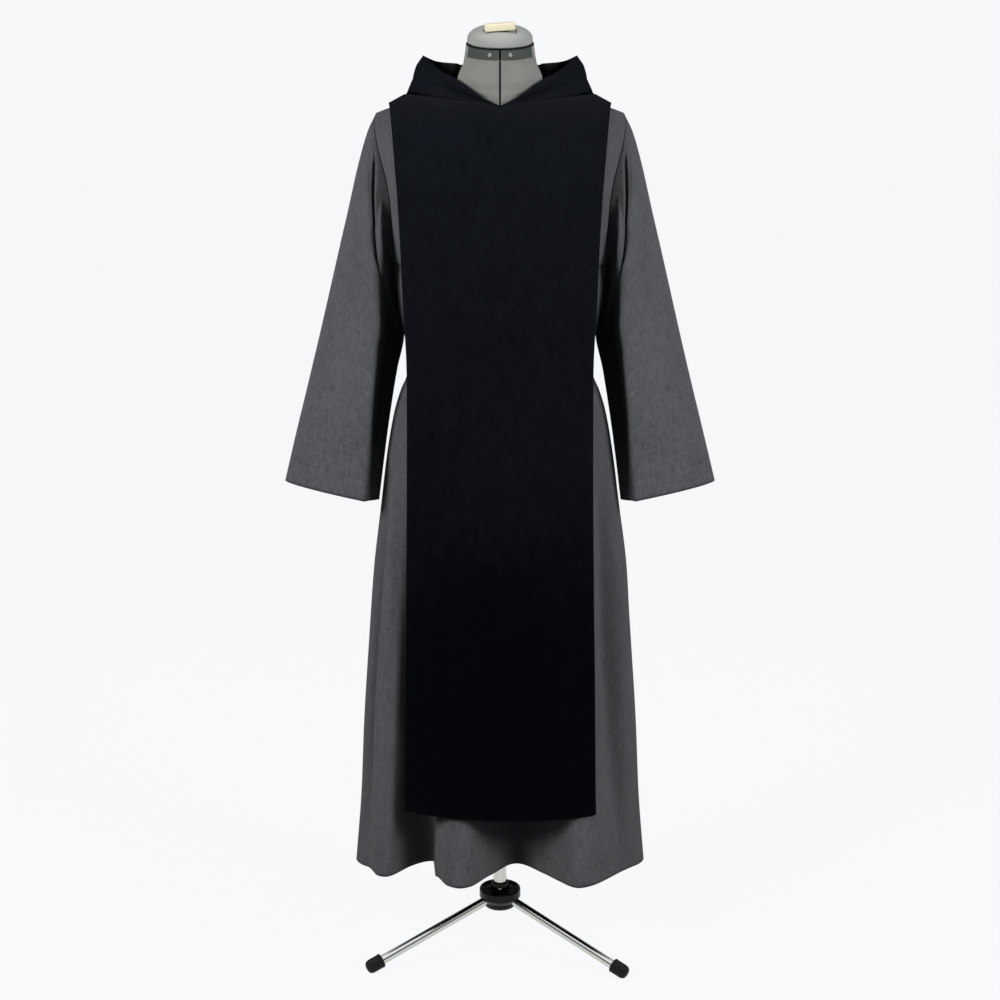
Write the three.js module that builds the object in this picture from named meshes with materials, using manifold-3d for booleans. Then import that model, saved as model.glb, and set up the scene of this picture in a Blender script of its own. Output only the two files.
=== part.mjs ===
// A monk's habit - a long-sleeved tunic with a hooded scapular over it - on a limbless dress form.
// Millimetres, +Z up. The habit's front faces -Y, and "left" and "right" are the wearer's own.
//
// Each cloth piece is a wall two millimetres thick, worked out from a few sizes and short tables.
// The form stands on a pole in a tripod, and it can be turned on the end of that pole.

import * as THREE from 'three';
import Module from 'manifold-3d';
import { mergeVertices } from 'three/addons/utils/BufferGeometryUtils.js';

const wasm = await Module();
wasm.setup();

// ---------------------------------------------------------------- driving sizes

const WALL = 2;               // thickness of the cloth
const SEAM = 0.3;             // space between two pieces at a seam, or between a piece and its seat
const RIGHT_ANGLE = Math.PI / 2;

const FRONT = -1;             // the two faces of the habit, as signs along Y
const BACK = 1;
const LEFT = 1;               // the wearer's two sides, as signs along X
const RIGHT = -1;

const HEM_Z = 190;            // heights above the floor
const UNDERARM_Z = 1302;
const SHOULDER_Z = 1560;
const NECK_POINT_Z = 1594;
const CHEST_Z = (SHOULDER_Z + UNDERARM_Z) / 2;
const ARMHOLE_RISE = (SHOULDER_Z - UNDERARM_Z) / 2;

// ---------------------------------------------------------------- tables

// The tunic's level sections: half width at the side seams, depth of the middle front and middle
// back, and how far the side seam lies from the middle plane.
const TUNIC_SECTIONS = [
  { z: 190, side: 270, front: 125, back: 126, seam: -34 },
  { z: 320, side: 259, front: 127, back: 125, seam: -26 },
  { z: 460, side: 252, front: 127, back: 124, seam: -18 },
  { z: 600, side: 242, front: 126, back: 122, seam: -11 },
  { z: 750, side: 230, front: 124, back: 120, seam: -5 },
  { z: 863, side: 216, front: 122, back: 117, seam: 0 },
  { z: 950, side: 205, front: 120, back: 114, seam: 0 },
  { z: 1034, side: 190, front: 117, back: 108, seam: 0 },
  { z: 1074, side: 178, front: 115, back: 104, seam: 0 },
  { z: 1103, side: 166, front: 113, back: 101, seam: 0 },
  { z: 1130, side: 163, front: 113, back: 100, seam: 0 },
  { z: 1180, side: 171, front: 115, back: 103, seam: 0 },
  { z: 1240, side: 182, front: 120, back: 109, seam: 0 },
  { z: 1302, side: 186, front: 125, back: 114, seam: 0 },
  { z: 1437, side: 193, front: 128, back: 116, seam: 0 },
];

// The armhole's distance from the middle, by height.
const ARMHOLE = [
  { z: 1302, out: 186 },
  { z: 1345, out: 186 },
  { z: 1403, out: 188 },
  { z: 1437, out: 193 },
  { z: 1490, out: 206 },
  { z: 1520, out: 213 },
  { z: 1545, out: 216 },
  { z: 1560, out: 214 },
];
const ARMHOLE_DEPTH = 58;

// The skirt's folds: where each crest or valley meets the hem, as a share of the half width, how
// far it spreads to each side, how far it stands out or in at the hem, and the height it starts at.
const SKIRT_FOLDS = {
  [FRONT]: [
    { at: -0.88, spreadRight: 0.16, spreadLeft: 0.24, out: 42, from: 1000 },
    { at: -0.46, spreadRight: 0.27, spreadLeft: 0.06, out: -58, from: 900 },
    { at: -0.32, spreadRight: 0.12, spreadLeft: 0.25, out: 56, from: 860 },
    { at: 0.06, spreadRight: 0.2, spreadLeft: 0.3, out: -62, from: 900 },
    { at: 0.56, spreadRight: 0.24, spreadLeft: 0.42, out: 56, from: 880 },
  ],
  [BACK]: [
    { at: -0.84, spreadRight: 0.18, spreadLeft: 0.2, out: 34, from: 980 },
    { at: -0.55, spreadRight: 0.16, spreadLeft: 0.18, out: -34, from: 860 },
    { at: -0.24, spreadRight: 0.24, spreadLeft: 0.17, out: 42, from: 900 },
    { at: 0.04, spreadRight: 0.18, spreadLeft: 0.22, out: -46, from: 880 },
    { at: 0.38, spreadRight: 0.22, spreadLeft: 0.17, out: 38, from: 840 },
    { at: 0.66, spreadRight: 0.17, spreadLeft: 0.16, out: -24, from: 820 },
    { at: 0.87, spreadRight: 0.16, spreadLeft: 0.16, out: 30, from: 960 },
  ],
};
const SKIRT_FOLD_GROWTH = 1.2;

// The sleeve's rings from armhole to cuff: the outer and the inner edge, and the half depth. Its flat
// front turns back at a corner, a share of the way from the outer edge to the inner one, and the strip
// between that corner and the body is tucked back by a share of the depth. The inner edge lies behind
// the body's widest line by its nose.
const SLEEVE_RINGS = [
  { along: 0, outX: 214, outZ: 1560, inX: 186, inZ: 1302, depth: 58, fore: 0, nose: 0, corner: 0.5, tuck: 0 },
  { along: 0.08, outX: 229, outZ: 1530, inX: 186.2, inZ: 1285, depth: 66, fore: 0, nose: 6, corner: 0.5, tuck: 0 },
  { along: 0.2, outX: 245, outZ: 1478, inX: 182.8, inZ: 1262, depth: 72, fore: 1, nose: 20, corner: 0.51, tuck: 0.03 },
  { along: 0.35, outX: 266, outZ: 1393, inX: 178, inZ: 1222, depth: 74, fore: 3, nose: 28, corner: 0.55, tuck: 0.2 },
  { along: 0.5, outX: 287, outZ: 1308, inX: 171.5, inZ: 1172, depth: 71, fore: 6, nose: 26, corner: 0.65, tuck: 0.7 },
  { along: 0.65, outX: 311, outZ: 1210, inX: 184, inZ: 1110, depth: 63, fore: 9, nose: 14, corner: 0.72, tuck: 0.85 },
  { along: 0.8, outX: 342, outZ: 1088, inX: 199, inZ: 1020, depth: 54, fore: 12, nose: 6, corner: 0.785, tuck: 0.8 },
  { along: 0.9, outX: 365, outZ: 1000, inX: 209, inZ: 948, depth: 47, fore: 14, nose: 2, corner: 0.83, tuck: 0.5 },
  { along: 1, outX: 387, outZ: 913, inX: 218, inZ: 877, depth: 41, fore: 16, nose: 0, corner: 0.85, tuck: 0.2 },
];
const SLEEVE_SQUARE = 2.3;          // how flat the sleeve's front lies: 2 is an ellipse
const TUCK_WIDTH = 0.42;            // the share of the strip's turn over which the cloth turns back
const TUCK_END = -0.3;              // how far forward the tucked strip still stands, as a share of the depth

// The sleeve's main folds run down it: the turn round the sleeve in degrees from its outer edge,
// by way of the front, at the upper and the lower end of the fold.
const SLEEVE_FOLDS = [
  { high: 46, low: 118, from: 0.03, to: 0.42, spread: 20, out: -20 },
  { high: 122, low: 150, from: 0.08, to: 0.45, spread: 20, out: 12 },
  { high: 262, low: 236, from: 0.06, to: 0.46, spread: 28, out: -12 },
];

// The scapular's sections below the chest: half width, and depth at the middle and at the edges.
const SCAPULAR_SECTIONS = {
  [FRONT]: [
    { z: 323, half: 173.5, middle: 178, edge: 139, turn: 9 },
    { z: 400, half: 172, middle: 174, edge: 133, turn: 7 },
    { z: 550, half: 170, middle: 166, edge: 122, turn: 5 },
    { z: 750, half: 166.5, middle: 157, edge: 111, turn: 2 },
    { z: 900, half: 164, middle: 147, edge: 102, turn: 0 },
    { z: 1000, half: 163, middle: 139, edge: 95, turn: 0 },
    { z: 1115, half: 162.5, middle: 134, edge: 88, turn: 0 },
    { z: 1250, half: 168, middle: 136, edge: 89, turn: 0 },
    { z: 1350, half: 171, middle: 137, edge: 95, turn: 0 },
    { z: 1437, half: 175, middle: 135, edge: 101, turn: 0 },
  ],
  [BACK]: [
    { z: 323, half: 174, middle: 170, edge: 134, turn: -4 },
    { z: 400, half: 172, middle: 166, edge: 127, turn: -3 },
    { z: 550, half: 170, middle: 158, edge: 118, turn: -2 },
    { z: 750, half: 167, middle: 147, edge: 107, turn: 0 },
    { z: 900, half: 165, middle: 136, edge: 97, turn: 0 },
    { z: 1000, half: 164, middle: 127, edge: 88, turn: 0 },
    { z: 1115, half: 163, middle: 118, edge: 78, turn: 0 },
    { z: 1250, half: 169, middle: 121, edge: 80, turn: 0 },
    { z: 1350, half: 171, middle: 124, edge: 86, turn: 0 },
    { z: 1437, half: 175, middle: 124, edge: 94, turn: 0 },
  ],
};
const SCAPULAR_SHOULDER = { half: 193, z: 1576.5 };
const SCAPULAR_NECK = { half: 164, z: 1592, frontZ: 1570, front: 80, backZ: 1571, back: 88 };

// The hood's free edge, from the point of the V at the throat, past the tip at the side of the neck,
// to the middle of the back.
const HOOD_EDGE = [
  { round: 0, x: 1, y: -80, z: 1579 },
  { round: 0.12, x: 31, y: -66, z: 1590 },
  { round: 0.24, x: 53, y: -54, z: 1604 },
  { round: 0.34, x: 74, y: -35, z: 1617 },
  { round: 0.44, x: 99, y: -10, z: 1630 },
  { round: 0.54, x: 131, y: 12, z: 1657 },
  { round: 0.64, x: 113, y: 44, z: 1648 },
  { round: 0.75, x: 89, y: 72, z: 1643 },
  { round: 0.87, x: 52, y: 94, z: 1641 },
  { round: 1, x: 0, y: 104, z: 1640 },
];
// Behind the tip the cloth runs down the scapular's back and turns up again, so that the hood hangs
// as an open pouch. A row gives the share of that shape, the place on the scapular's back where the
// cloth turns up, how far off it the turn lies, and how far the outer cloth bulges.
const HOOD_POUCH = [
  { round: 0.5, share: 0, across: 0.71, down: 0.02, off: 4, bulge: 3 },
  { round: 0.58, share: 0.3, across: 0.7, down: 0.14, off: 6, bulge: 6 },
  { round: 0.68, share: 1, across: 0.7, down: 0.56, off: 12, bulge: 16 },
  { round: 0.78, share: 1, across: 0.6, down: 0.94, off: 15, bulge: 26 },
  { round: 0.89, share: 1, across: 0.36, down: 1.05, off: 16, bulge: 34 },
  { round: 1, share: 1, across: 0, down: 1.08, off: 16, bulge: 38 },
];

// The dress form's level sections, and how square each one is: 2 is an ellipse.
const FORM_SECTIONS = [
  { z: 830, side: 150, front: 96, back: 92, square: 2.3 },
  { z: 850, side: 160, front: 103, back: 99, square: 2.3 },
  { z: 950, side: 158, front: 100, back: 102, square: 2.3 },
  { z: 1040, side: 146, front: 92, back: 94, square: 2.3 },
  { z: 1120, side: 136, front: 87, back: 86, square: 2.3 },
  { z: 1250, side: 150, front: 101, back: 92, square: 2.3 },
  { z: 1350, side: 164, front: 112, back: 100, square: 2.3 },
  { z: 1437, side: 172, front: 112, back: 100, square: 2.2 },
  { z: 1500, side: 186, front: 97, back: 90, square: 2.1 },
  { z: 1540, side: 199, front: 70, back: 72, square: 2 },
  { z: 1556, side: 195, front: 61, back: 60, square: 1.8 },
  { z: 1566, side: 180, front: 58, back: 55, square: 1.5 },
  { z: 1574, side: 148, front: 53, back: 53, square: 1.2 },
  { z: 1583, side: 89, front: 54.8, back: 53.6, square: 1.47 },
  { z: 1588, side: 73.7, front: 55.6, back: 54.6, square: 1.6 },
  { z: 1596, side: 73, front: 55, back: 56, square: 1.9 },
  { z: 1614, side: 74, front: 57, back: 60, square: 2 },
  { z: 1629, side: 70, front: 57, back: 60, square: 2 },
  { z: 1645, side: 63, front: 57, back: 59, square: 2 },
  { z: 1660, side: 60.5, front: 57, back: 58, square: 2 },
  { z: 1677.5, side: 58.2, front: 56.8, back: 56.8, square: 2 },
];

// The neck's cap, its plates and the stand.
const CAP = { tilt: 12, z: 1677.5, radius: 56.5, seat: 53, lip: 1.8, rim: 5, height: 30.5, square: 2.35 };
const SLOT = { length: 58, width: 18, floor: 24, at: -30 };
const HANDLE = { length: 53, width: 14, height: 13, roll: 4 };
const PLATE = { from: 1.6, to: 62, top: 1676.5, bottom: 1657.5, off: 0.6 };
const RIVET = { turn: 16, z: 1666.5, radius: 3.7, length: 3 };
const NECK_GAP = { width: 3, floor: 54, bottom: 1560 };
const POLE = { radius: 12, bottom: 102, top: 890, socket: 13 };
const HUB = { radius: 39, top: 114, foot: 31, bottom: 78, collar: 16, collarTop: 127 };
const SCREW = { radius: 3, length: 5, z: 119 };
const LEG = { radius: 8.5, root: 15, rootZ: 97.5, end: 264, endZ: 14.5, turn: -2.5 };
const TIP = { radius: 13.5, start: 247, end: 278, floor: 270 };
const LEG_TURNS = { left: 60, right: -60, back: 182.5 };

// ---------------------------------------------------------------- helpers

const lerp = (a, b, t) => a + (b - a) * t;
const clamp = (v, low, high) => Math.min(high, Math.max(low, v));
const degrees = (angle) => (angle * Math.PI) / 180;

// A smooth line through one column of a table that never swings past its own rows.
function line(table, key, column) {
  const x = table.map((row) => row[key]);
  const y = table.map((row) => row[column]);
  const slope = x.slice(1).map((_, i) => (y[i + 1] - y[i]) / (x[i + 1] - x[i]));
  const grade = x.map((_, i) => {
    if (i === 0) return slope[0];
    if (i === x.length - 1) return slope[i - 1];
    const product = slope[i - 1] * slope[i];
    return product <= 0 ? 0 : (2 * product) / (slope[i - 1] + slope[i]);
  });
  return (at) => {
    const v = clamp(at, x[0], x[x.length - 1]);
    let i = 0;
    while (i < x.length - 2 && v > x[i + 1]) i += 1;
    const width = x[i + 1] - x[i];
    const t = (v - x[i]) / width;
    const rise = (t * t * (3 - 2 * t)) * (y[i + 1] - y[i]);
    return y[i] + rise + width * t * (1 - t) * ((1 - t) * grade[i] - t * grade[i + 1]);
  };
}

function lines(table, key, ...columns) {
  return Object.fromEntries(columns.map((column) => [column, line(table, key, column)]));
}

// A soft hump: 1 in the middle, 0 at the end of its spread.
function hump(offset, spreadBelow, spreadAbove) {
  const share = Math.abs(offset) / (offset < 0 ? spreadBelow : spreadAbove);
  return share >= 1 ? 0 : Math.cos(share * RIGHT_ANGLE) ** 2;
}

const vector = (x, y, z) => new THREE.Vector3(x, y, z);

// ---------------------------------------------------------------- the tunic's body

const tunicAt = lines(TUNIC_SECTIONS, 'z', 'side', 'front', 'back', 'seam');
const armholeOut = line(ARMHOLE, 'z', 'out');
const TUNIC_SQUARE = 2.2;
const SHOULDER_ROUND = 0.2;         // how much of the shoulder's drop comes at its end
const TUNIC_NECK = { half: 78, share: 3 / 13, front: 76, frontDrop: 53, back: 80, backDrop: 36 };

const tunicDepth = (face, z) => face * (face === FRONT ? tunicAt.front(z) : tunicAt.back(z));

// The edge of a panel at a height: the armhole above the underarm, and the side seam below it.
function tunicEdge(face, z) {
  if (z <= UNDERARM_Z) return { x: tunicAt.side(z), y: tunicAt.seam(z) };
  const rise = clamp((z - CHEST_Z) / ARMHOLE_RISE, -1, 1);
  return { x: armholeOut(z), y: face * ARMHOLE_DEPTH * Math.sqrt(1 - rise * rise) };
}

function skirtFold(face, share, z) {
  let out = 0;
  for (const fold of SKIRT_FOLDS[face]) {
    if (z >= fold.from) continue;
    const growth = ((fold.from - z) / (fold.from - HEM_Z)) ** SKIRT_FOLD_GROWTH;
    out += fold.out * growth * hump(share - fold.at, fold.spreadRight, fold.spreadLeft);
  }
  return out * (1 - share ** 8);
}

// A level line across a panel: across runs from -1 at the right edge to 1 at the left edge.
function tunicLevel(face, across, z) {
  const edge = tunicEdge(face, z);
  const turn = across * RIGHT_ANGLE;
  const share = Math.sign(across) * Math.abs(Math.sin(turn)) ** (2 / TUNIC_SQUARE);
  const depth = Math.cos(turn) ** (2 / TUNIC_SQUARE);
  const y = edge.y + (tunicDepth(face, z) - edge.y) * depth + face * skirtFold(face, share, z);
  return vector(edge.x * share, y, z);
}

// The top line of a panel: the neckline in the middle, and the shoulder seams beside it.
function tunicTop(face, across) {
  const reach = Math.abs(across);
  const side = Math.sign(across) || 1;
  if (reach <= TUNIC_NECK.share) {
    const turn = (reach / TUNIC_NECK.share) * RIGHT_ANGLE;
    const depth = face === FRONT ? TUNIC_NECK.front : TUNIC_NECK.back;
    const drop = face === FRONT ? TUNIC_NECK.frontDrop : TUNIC_NECK.backDrop;
    const x = side * TUNIC_NECK.half * Math.sin(turn);
    return vector(x, face * depth * Math.cos(turn) ** 0.6, NECK_POINT_Z - drop * Math.cos(turn) ** 1.5);
  }
  const t = (reach - TUNIC_NECK.share) / (1 - TUNIC_NECK.share);
  const x = side * lerp(TUNIC_NECK.half, armholeOut(SHOULDER_Z), t);
  return vector(x, 0, lerp(NECK_POINT_Z, SHOULDER_Z, lerp(t, t ** 5, SHOULDER_ROUND)));
}

// From a point on the shoulder over to one on the chest, as a quarter of an ellipse.
function overShoulder(top, chest, down, sideways) {
  const turn = down * RIGHT_ANGLE;
  return vector(
    lerp(top.x, chest.x, sideways),
    lerp(top.y, chest.y, Math.sin(turn)),
    lerp(chest.z, top.z, Math.cos(turn)),
  );
}

// A panel's surface: down runs 0 to 1 from the shoulder to the chest, 1 to 2 to the underarm and
// 2 to 3 to the hem.
function tunicPoint(face, across, down) {
  if (down <= 1) {
    const edgeZ = CHEST_Z + ARMHOLE_RISE * Math.cos(down * RIGHT_ANGLE);
    const top = armholeOut(SHOULDER_Z);
    const sideways = (armholeOut(edgeZ) - top) / (armholeOut(CHEST_Z) - top);
    return overShoulder(tunicTop(face, across), tunicLevel(face, across, CHEST_Z), down, sideways);
  }
  if (down <= 2) {
    return tunicLevel(face, across, CHEST_Z - ARMHOLE_RISE * Math.sin((down - 1) * RIGHT_ANGLE));
  }
  return tunicLevel(face, across, lerp(UNDERARM_Z, HEM_Z, down - 2));
}

// ---------------------------------------------------------------- the sleeves

const sleeveAt = lines(
  SLEEVE_RINGS, 'along', 'outX', 'outZ', 'inX', 'inZ', 'depth', 'fore', 'nose', 'corner', 'tuck',
);
const ARMHOLE_BLEND = 0.14;

function armholePoint(side, turn) {
  const z = CHEST_Z + ARMHOLE_RISE * Math.cos(turn);
  return vector(side * (armholeOut(z) + SEAM), -ARMHOLE_DEPTH * Math.sin(turn), z);
}

// The section of a sleeve at a turn: how far it has come from the outer to the inner edge, and how far
// it stands forward, as a share of the depth. Its back half is half an ellipse.
function sleeveSection(turn, corner, tuck) {
  const [forward, outward] = [Math.sin(turn), Math.cos(turn)];
  if (forward < 0) return { share: 0.5 - 0.5 * outward, out: forward };
  const round = forward ** (2 / SLEEVE_SQUARE);
  if (outward >= 0) return { share: corner * (1 - outward), out: round };
  const past = turn / RIGHT_ANGLE - 1;
  const step = clamp(past / TUCK_WIDTH, 0, 1);
  const tucked = lerp(1, TUCK_END, step * step * (3 - 2 * step)) * Math.sqrt(1 - past ** 4);
  return { share: lerp(corner, 1, past ** lerp(1, 1.3, tuck)), out: lerp(round, tucked, tuck) };
}

function sleeveRing(side, turn, along) {
  const out = vector(side * sleeveAt.outX(along), 0, sleeveAt.outZ(along));
  const inner = vector(side * sleeveAt.inX(along), 0, sleeveAt.inZ(along));
  const section = sleeveSection(turn, sleeveAt.corner(along), sleeveAt.tuck(along));
  const point = out.lerp(inner, section.share);
  const round = (turn * 180) / Math.PI;
  let depth = sleeveAt.depth(along);
  for (const fold of SLEEVE_FOLDS) {
    if (along < fold.from || along > fold.to) continue;
    const t = (along - fold.from) / (fold.to - fold.from);
    const offset = round - lerp(fold.high, fold.low, t);
    depth += fold.out * Math.sin(Math.PI * t) ** 0.7 * hump(offset, fold.spread, fold.spread);
  }
  const inward = Math.max(0, 2 * section.share - 1);
  point.y = sleeveAt.nose(along) * inward ** 2 - depth * section.out - sleeveAt.fore(along);
  return point;
}

// The sleeve's surface: turn goes round it from its outer edge by way of the front.
function sleevePoint(side, turn, along) {
  const point = sleeveRing(side, turn, along);
  if (along < ARMHOLE_BLEND) {
    const shift = armholePoint(side, turn).sub(sleeveRing(side, turn, 0));
    point.addScaledVector(shift, (1 - along / ARMHOLE_BLEND) ** 2);
  }
  return point;
}

// ---------------------------------------------------------------- the scapular

const scapularAt = {
  [FRONT]: lines(SCAPULAR_SECTIONS[FRONT], 'z', 'half', 'middle', 'edge', 'turn'),
  [BACK]: lines(SCAPULAR_SECTIONS[BACK], 'z', 'half', 'middle', 'edge', 'turn'),
};
const SCAPULAR_HEM_Z = SCAPULAR_SECTIONS[FRONT][0].z;
const SCAPULAR_COLUMNS_EACH_SIDE = 7;
const SCAPULAR_NECK_SHARE = 5 / SCAPULAR_COLUMNS_EACH_SIDE;

function scapularLevel(face, across, z) {
  const at = scapularAt[face];
  const middle = at.middle(z);
  const depth = middle - (middle - at.edge(z)) * Math.abs(across) ** 2.4 + at.turn(z) * across;
  return vector(at.half(z) * across, face * depth, z);
}

function scapularTop(face, across) {
  const reach = Math.abs(across);
  const side = Math.sign(across) || 1;
  if (reach <= SCAPULAR_NECK_SHARE) {
    const share = reach / SCAPULAR_NECK_SHARE;
    const x = side * SCAPULAR_NECK.half * share;
    if (face === FRONT) {
      const z = lerp(SCAPULAR_NECK.frontZ, SCAPULAR_NECK.z, share ** 0.6);
      return vector(x, -SCAPULAR_NECK.front * (1 - share) ** 0.8, z);
    }
    const z = lerp(SCAPULAR_NECK.backZ, SCAPULAR_NECK.z, share ** 2);
    return vector(x, SCAPULAR_NECK.back * Math.sqrt(1 - share ** 2), z);
  }
  const t = (reach - SCAPULAR_NECK_SHARE) / (1 - SCAPULAR_NECK_SHARE);
  const x = side * lerp(SCAPULAR_NECK.half, SCAPULAR_SHOULDER.half, t);
  return vector(x, 0, lerp(SCAPULAR_NECK.z, SCAPULAR_SHOULDER.z, t));
}

// The scapular's surface: down runs 0 to 1 from the shoulder to the chest, and 1 to 2 to the hem.
function scapularPoint(face, across, down) {
  if (down <= 1) {
    const chest = scapularLevel(face, across, CHEST_Z);
    return overShoulder(scapularTop(face, across), chest, down, down);
  }
  return scapularLevel(face, across, lerp(CHEST_Z, SCAPULAR_HEM_Z, down - 1));
}

// A place on the scapular's back, moved out from it.
function overScapularBack(across, down, out) {
  const step = 0.01;
  const at = (a, d) => scapularPoint(BACK, a, Math.max(0, d));
  const sideways = at(across + step, down).sub(at(across - step, down));
  const downward = at(across, down + step).sub(at(across, down - step));
  return at(across, down).addScaledVector(sideways.cross(downward).normalize(), out);
}

// ---------------------------------------------------------------- the hood

const hoodEdge = lines(HOOD_EDGE, 'round', 'x', 'y', 'z');
const hoodPouch = lines(HOOD_POUCH, 'round', 'share', 'across', 'down', 'off', 'bulge');
const HOOD_TIP = 0.54;              // how far round the hood its tip lies
const HOOD_TURN = 0.46;             // the share of the way from seam to edge at which the cloth turns up
const HOOD_CLEAR = 4;               // how far the pouch lies off the scapular at its seam

// How far along the scapular's neckline the hood's seam has come, as the across of the neckline.
function necklineAcross(round) {
  const share = round <= HOOD_TIP ? round / HOOD_TIP : (1 - round) / (1 - HOOD_TIP);
  return share * SCAPULAR_NECK_SHARE;
}

// The seam follows the straight stretches between the scapular's own points.
function hoodSeam(round) {
  const face = round <= HOOD_TIP ? FRONT : BACK;
  const steps = necklineAcross(round) * SCAPULAR_COLUMNS_EACH_SIDE;
  const whole = Math.min(Math.floor(steps + 1e-9), SCAPULAR_NECK_SHARE * SCAPULAR_COLUMNS_EACH_SIDE - 1);
  const near = scapularTop(face, whole / SCAPULAR_COLUMNS_EACH_SIDE);
  const far = scapularTop(face, (whole + 1) / SCAPULAR_COLUMNS_EACH_SIDE);
  return near.lerp(far, steps - whole).add(vector(0, 0, SEAM));
}

// One half of the hood: round runs from the throat to the middle of the back, and up from the seam
// on the neckline to the free edge.
function hoodPoint(side, round, up) {
  const seam = hoodSeam(round);
  const edge = vector(hoodEdge.x(round), hoodEdge.y(round), hoodEdge.z(round));
  const share = hoodPouch.share(round);
  const point = seam.clone().lerp(edge, up);
  if (share > 0) {
    const [across, down, off] = [hoodPouch.across(round), hoodPouch.down(round), hoodPouch.off(round)];
    if (up <= HOOD_TURN) {
      const t = up / HOOD_TURN;
      const along = Math.sin(t * RIGHT_ANGLE);
      const out = lerp(HOOD_CLEAR, off, t * t) * Math.min(1, t * 4);
      const lying = overScapularBack(lerp(necklineAcross(round), across, along), down * along, out);
      lying.z += SEAM * (1 - t);
      point.lerp(lying, share);
    } else {
      const t = (up - HOOD_TURN) / (1 - HOOD_TURN);
      const low = overScapularBack(across, down, off);
      const lying = low.clone().lerp(edge, t);
      lying.z = lerp(low.z, edge.z, 1 - Math.cos(t * RIGHT_ANGLE));
      point.lerp(lying, share);
    }
  }
  const swell = Math.sin(Math.PI * clamp((up - HOOD_TURN) / (1 - HOOD_TURN), 0, 1));
  point.addScaledVector(vector(point.x * 0.5, point.y, 0).normalize(), hoodPouch.bulge(round) * swell);
  return vector(side * point.x, point.y, point.z);
}

// ---------------------------------------------------------------- walls

// A closed wall from a grid of outer points: rows of columns, closed round its columns or open.
// straighten(row, column, normal) may change the direction in which the wall gets its thickness.
function wall(points, { round = false, outward, straighten = () => {} }) {
  const rows = points.length;
  const columns = points[0].length;
  const inner = points.map((row, r) => row.map((point, c) => {
    const before = row[round ? (c + columns - 1) % columns : Math.max(0, c - 1)];
    const after = row[round ? (c + 1) % columns : Math.min(columns - 1, c + 1)];
    const above = points[Math.max(0, r - 1)][c];
    const below = points[Math.min(rows - 1, r + 1)][c];
    const normal = after.clone().sub(before).cross(below.clone().sub(above)).normalize();
    normal.multiplyScalar(outward);
    straighten(r, c, normal);
    normal.normalize();
    return point.clone().addScaledVector(normal, -WALL);
  }));
  const position = [];
  for (const layer of [points, inner]) {
    for (const row of layer) {
      for (const point of row) position.push(point.x, point.y, point.z);
    }
  }
  const index = [];
  const at = (layer, r, c) => layer * rows * columns + r * columns + (round ? c % columns : c);
  const quad = (a, b, c, d) => index.push(a, b, c, a, c, d);
  const spans = round ? columns : columns - 1;
  for (let c = 0; c < spans; c += 1) {
    for (let r = 0; r < rows - 1; r += 1) {
      quad(at(0, r, c), at(0, r, c + 1), at(0, r + 1, c + 1), at(0, r + 1, c));
      quad(at(1, r, c), at(1, r + 1, c), at(1, r + 1, c + 1), at(1, r, c + 1));
    }
    quad(at(0, 0, c), at(1, 0, c), at(1, 0, c + 1), at(0, 0, c + 1));
    quad(at(0, rows - 1, c), at(0, rows - 1, c + 1), at(1, rows - 1, c + 1), at(1, rows - 1, c));
  }
  if (!round) {
    for (let r = 0; r < rows - 1; r += 1) {
      quad(at(0, r, 0), at(0, r + 1, 0), at(1, r + 1, 0), at(1, r, 0));
      const c = columns - 1;
      quad(at(0, r, c), at(1, r, c), at(1, r + 1, c), at(0, r + 1, c));
    }
  }
  if (outward < 0) {
    for (let i = 0; i < index.length; i += 3) [index[i + 1], index[i + 2]] = [index[i + 2], index[i + 1]];
  }
  const geometry = new THREE.BufferGeometry();
  geometry.setAttribute('position', new THREE.Float32BufferAttribute(position, 3));
  geometry.setIndex(index);
  return geometry;
}

// ---------------------------------------------------------------- the cloth pieces

const span = (count) => Array.from({ length: count + 1 }, (_, i) => i / count);
const PANEL_COLUMNS = span(26).map((t) => 2 * t - 1);
const YOKE_ROWS = span(5);
const ARMHOLE_ROWS = [4 / 3, 5 / 3, 2];
const SKIRT_HEIGHTS = [1240, 1180, 1130, 1100, 1066, 1020, 950, 850, 720, 590, 460, 340, 255, HEM_Z];
const TUNIC_ROWS = [
  ...YOKE_ROWS,
  ...ARMHOLE_ROWS,
  ...SKIRT_HEIGHTS.map((z) => 2 + (UNDERARM_Z - z) / (UNDERARM_Z - HEM_Z)),
];

function tunicPanel(face) {
  const points = TUNIC_ROWS.map((down) => PANEL_COLUMNS.map((across) => {
    const point = tunicPoint(face, across, down);
    const onShoulder = down === 0 && Math.abs(across) >= TUNIC_NECK.share - 1e-6;
    const onSide = down >= 2 && Math.abs(across) === 1;
    if (onShoulder || onSide) point.y += (face * SEAM) / 2;
    return point;
  }));
  const lastColumn = PANEL_COLUMNS.length - 1;
  const straighten = (row, column, normal) => {
    const onShoulder = row === 0 && Math.abs(PANEL_COLUMNS[column]) >= TUNIC_NECK.share - 1e-6;
    const onSide = TUNIC_ROWS[row] >= 2 && (column === 0 || column === lastColumn);
    const onArmhole = TUNIC_ROWS[row] < 1.5 && (column === 0 || column === lastColumn);
    if (onShoulder || onSide) normal.y = 0;
    if (onArmhole) normal.x = 0;
  };
  return wall(points, { outward: face, straighten });
}

// The rows of the tunic's armhole edge, as turns round the armhole from its top.
const ARMHOLE_TURNS = [...YOKE_ROWS, ...ARMHOLE_ROWS].map((down) => down * RIGHT_ANGLE);
const SLEEVE_TURNS = [
  ...ARMHOLE_TURNS,
  ...ARMHOLE_TURNS.slice(1, -1).reverse().map((turn) => 2 * Math.PI - turn),
];
const SLEEVE_ROWS = [0, 0.05, 0.11, 0.19, 0.28, 0.38, 0.48, 0.58, 0.69, 0.8, 0.9, 1];

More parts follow.
